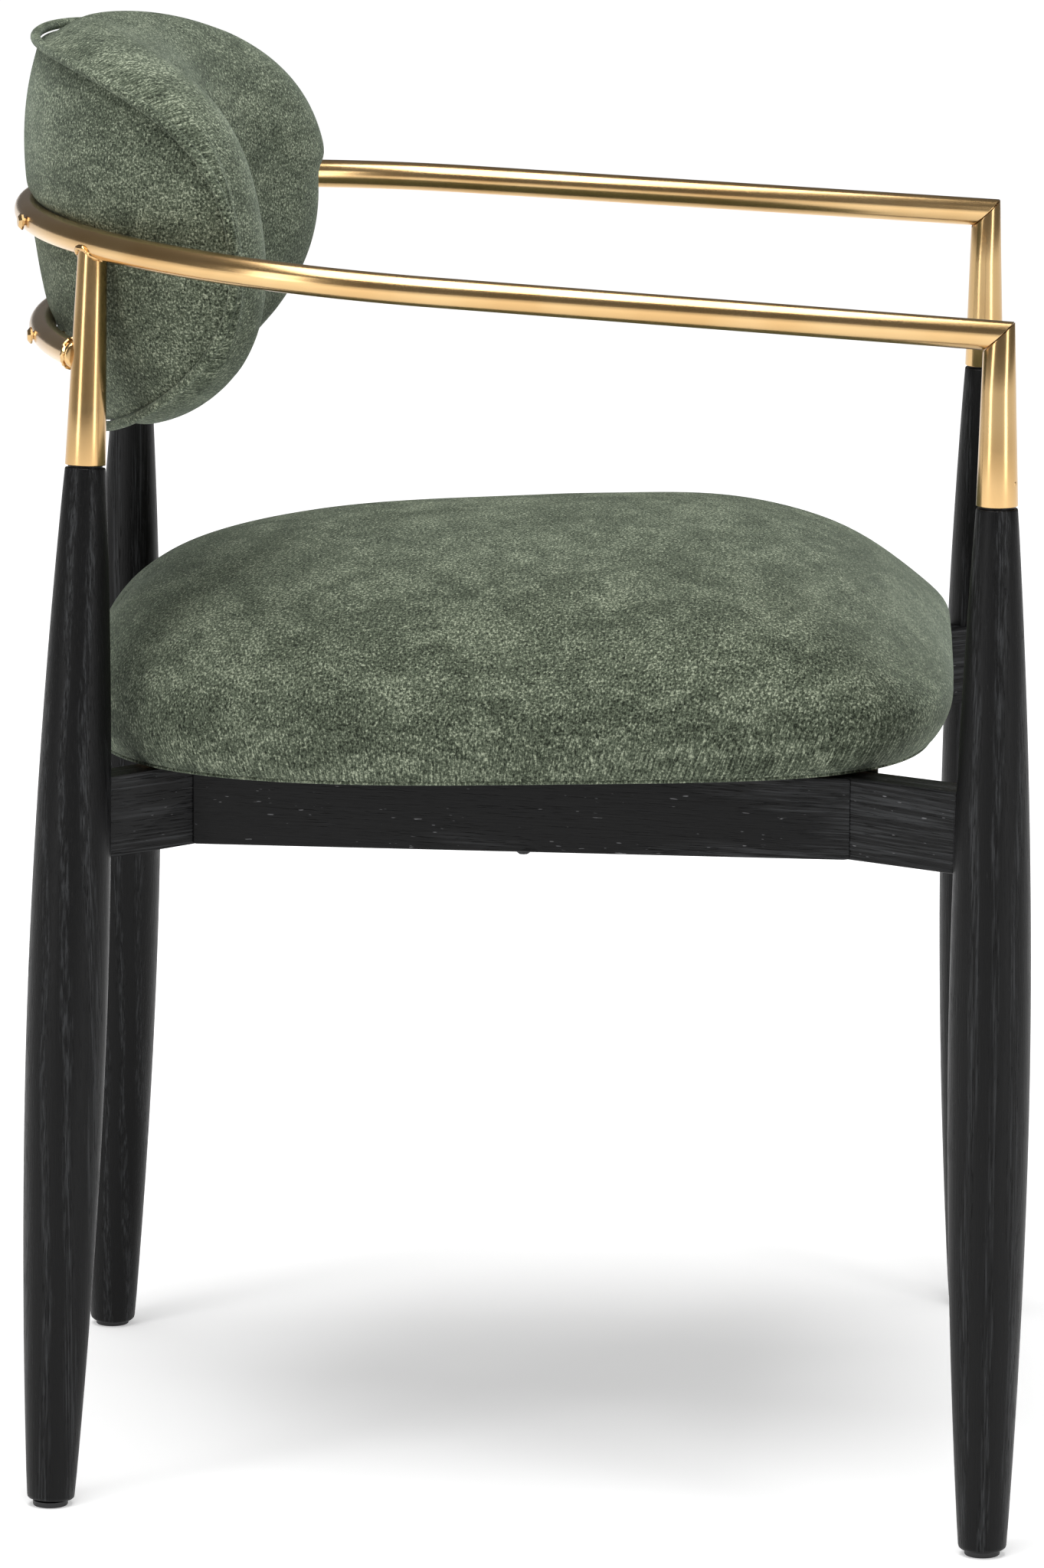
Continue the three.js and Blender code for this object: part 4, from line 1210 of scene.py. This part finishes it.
class ARMCHAIR_OT_stage(bpy.types.Operator):
    """Lay the floor, light the chair and set the camera"""

    bl_idname = "armchair.stage"
    bl_label = "Stage"

    def execute(self, context):
        settings = context.scene.armchair_stage
        self.floor(settings)
        self.lights(settings)
        self.camera()
        context.scene.view_settings.view_transform = "Standard"
        return {"FINISHED"}

    def floor(self, settings):
        bm = bmesh.new()
        bmesh.ops.create_grid(bm, x_segments=2, y_segments=2, size=30)
        mesh = bpy.data.meshes.new("floor")
        bm.to_mesh(mesh)
        bm.free()
        floor = bpy.data.objects.new("floor", mesh)
        bpy.context.scene.collection.objects.link(floor)
        r = Recipe("floor_paint")
        r.feed(r.shader, {"Base Color": (*settings.floor, 1), "Roughness": 0.9, "Specular IOR Level": 0.1})
        distance = r.add("VectorMath", {0: r.coords()}, operation="LENGTH").outputs["Value"]
        glow = r.ramp(distance, 0.4, 2.0, 0.42, 0.9)
        r.feed(r.shader, {"Emission Color": (1, 1, 1, 1), "Emission Strength": glow})
        mesh.materials.append(r.material)

    def area(self, name, spot, aim, width, height, power):
        light = bpy.data.lights.new(name, "AREA")
        light.shape = "RECTANGLE"
        light.size, light.size_y = width, height
        light.energy = power
        made = bpy.data.objects.new(name, light)
        made.location = spot
        made.rotation_euler = (Vector(aim) - Vector(spot)).to_track_quat("-Z", "Y").to_euler()
        bpy.context.scene.collection.objects.link(made)

    def lights(self, settings):
        middle = (0, 0, 0.45)
        self.area("overhead", (-0.5, 0.1, 2.6), middle, 1.8, 2.2, settings.key_power)
        self.area("side_front", (-2.2, -2.4, 1.1), middle, 0.7, 2.2, settings.side_power)
        self.area("side_rear", (-2.2, 2.3, 1.2), middle, 0.7, 2.2, settings.side_power)
        world = bpy.data.worlds.new("room")
        world.use_nodes = True
        world.node_tree.nodes["Background"].inputs["Strength"].default_value = settings.world
        world.node_tree.nodes["Background"].inputs["Color"].default_value = (1, 1, 1, 1)
        bpy.context.scene.world = world

    def camera(self):
        lens = bpy.data.cameras.new("camera")
        lens.sensor_width = 36
        lens.lens = FOCAL_LENGTH
        lens.shift_x = LENS_SHIFT
        lens.clip_end = 100
        camera = bpy.data.objects.new("camera", lens)
        ahead = Vector(CAMERA_AHEAD).normalized()
        right = ahead.cross(UP).normalized()
        right = (right + CAMERA_ROLL * right.cross(ahead)).normalized()
        raised = right.cross(ahead)
        turn = Matrix((right, raised, -ahead)).transposed().to_4x4()
        camera.matrix_world = Matrix.Translation(CAMERA_PLACE) @ turn
        bpy.context.scene.collection.objects.link(camera)
        bpy.context.scene.camera = camera


class ARMCHAIR_PT_pieces(bpy.types.Panel):
    """Lists the armchair's pieces, each with its operator and sizes"""

    bl_idname = "ARMCHAIR_PT_pieces"
    bl_label = "Dining armchair"
    bl_space_type = "VIEW_3D"
    bl_region_type = "UI"
    bl_category = "Armchair"

    def draw(self, context):
        for operator in OPERATORS:
            self.layout.operator(operator.bl_idname)
        for prop in GROUPS:
            box = self.layout.box()
            settings = getattr(context.scene, prop)
            for name in settings.__annotations__:
                box.prop(settings, name)


OPERATORS = (
    ARMCHAIR_OT_legs,
    ARMCHAIR_OT_arm,
    ARMCHAIR_OT_sleeves,
    ARMCHAIR_OT_lower_tube,
    ARMCHAIR_OT_welds,
    ARMCHAIR_OT_seat_frame,
    ARMCHAIR_OT_seat,
    ARMCHAIR_OT_back_front,
    ARMCHAIR_OT_back_rear,
    ARMCHAIR_OT_hardware,
    ARMCHAIR_OT_stage,
)
GROUPS = {
    "armchair_legs": ArmchairLegs,
    "armchair_brass": ArmchairBrass,
    "armchair_seat": ArmchairSeat,
    "armchair_back": ArmchairBack,
    "armchair_finish": ArmchairFinish,
    "armchair_stage": ArmchairStage,
}
CLASSES = (*GROUPS.values(), *OPERATORS, ARMCHAIR_PT_pieces)


def register():
    for cls in CLASSES:
        bpy.utils.register_class(cls)
    for name, group in GROUPS.items():
        setattr(bpy.types.Scene, name, PointerProperty(type=group))


def unregister():
    for name in GROUPS:
        delattr(bpy.types.Scene, name)
    for cls in reversed(CLASSES):
        bpy.utils.unregister_class(cls)


def main():
    register()
    for operator in OPERATORS:
        _, name = operator.bl_idname.split(".")
        getattr(bpy.ops.armchair, name)()


if __name__ == "__main__":
    main()
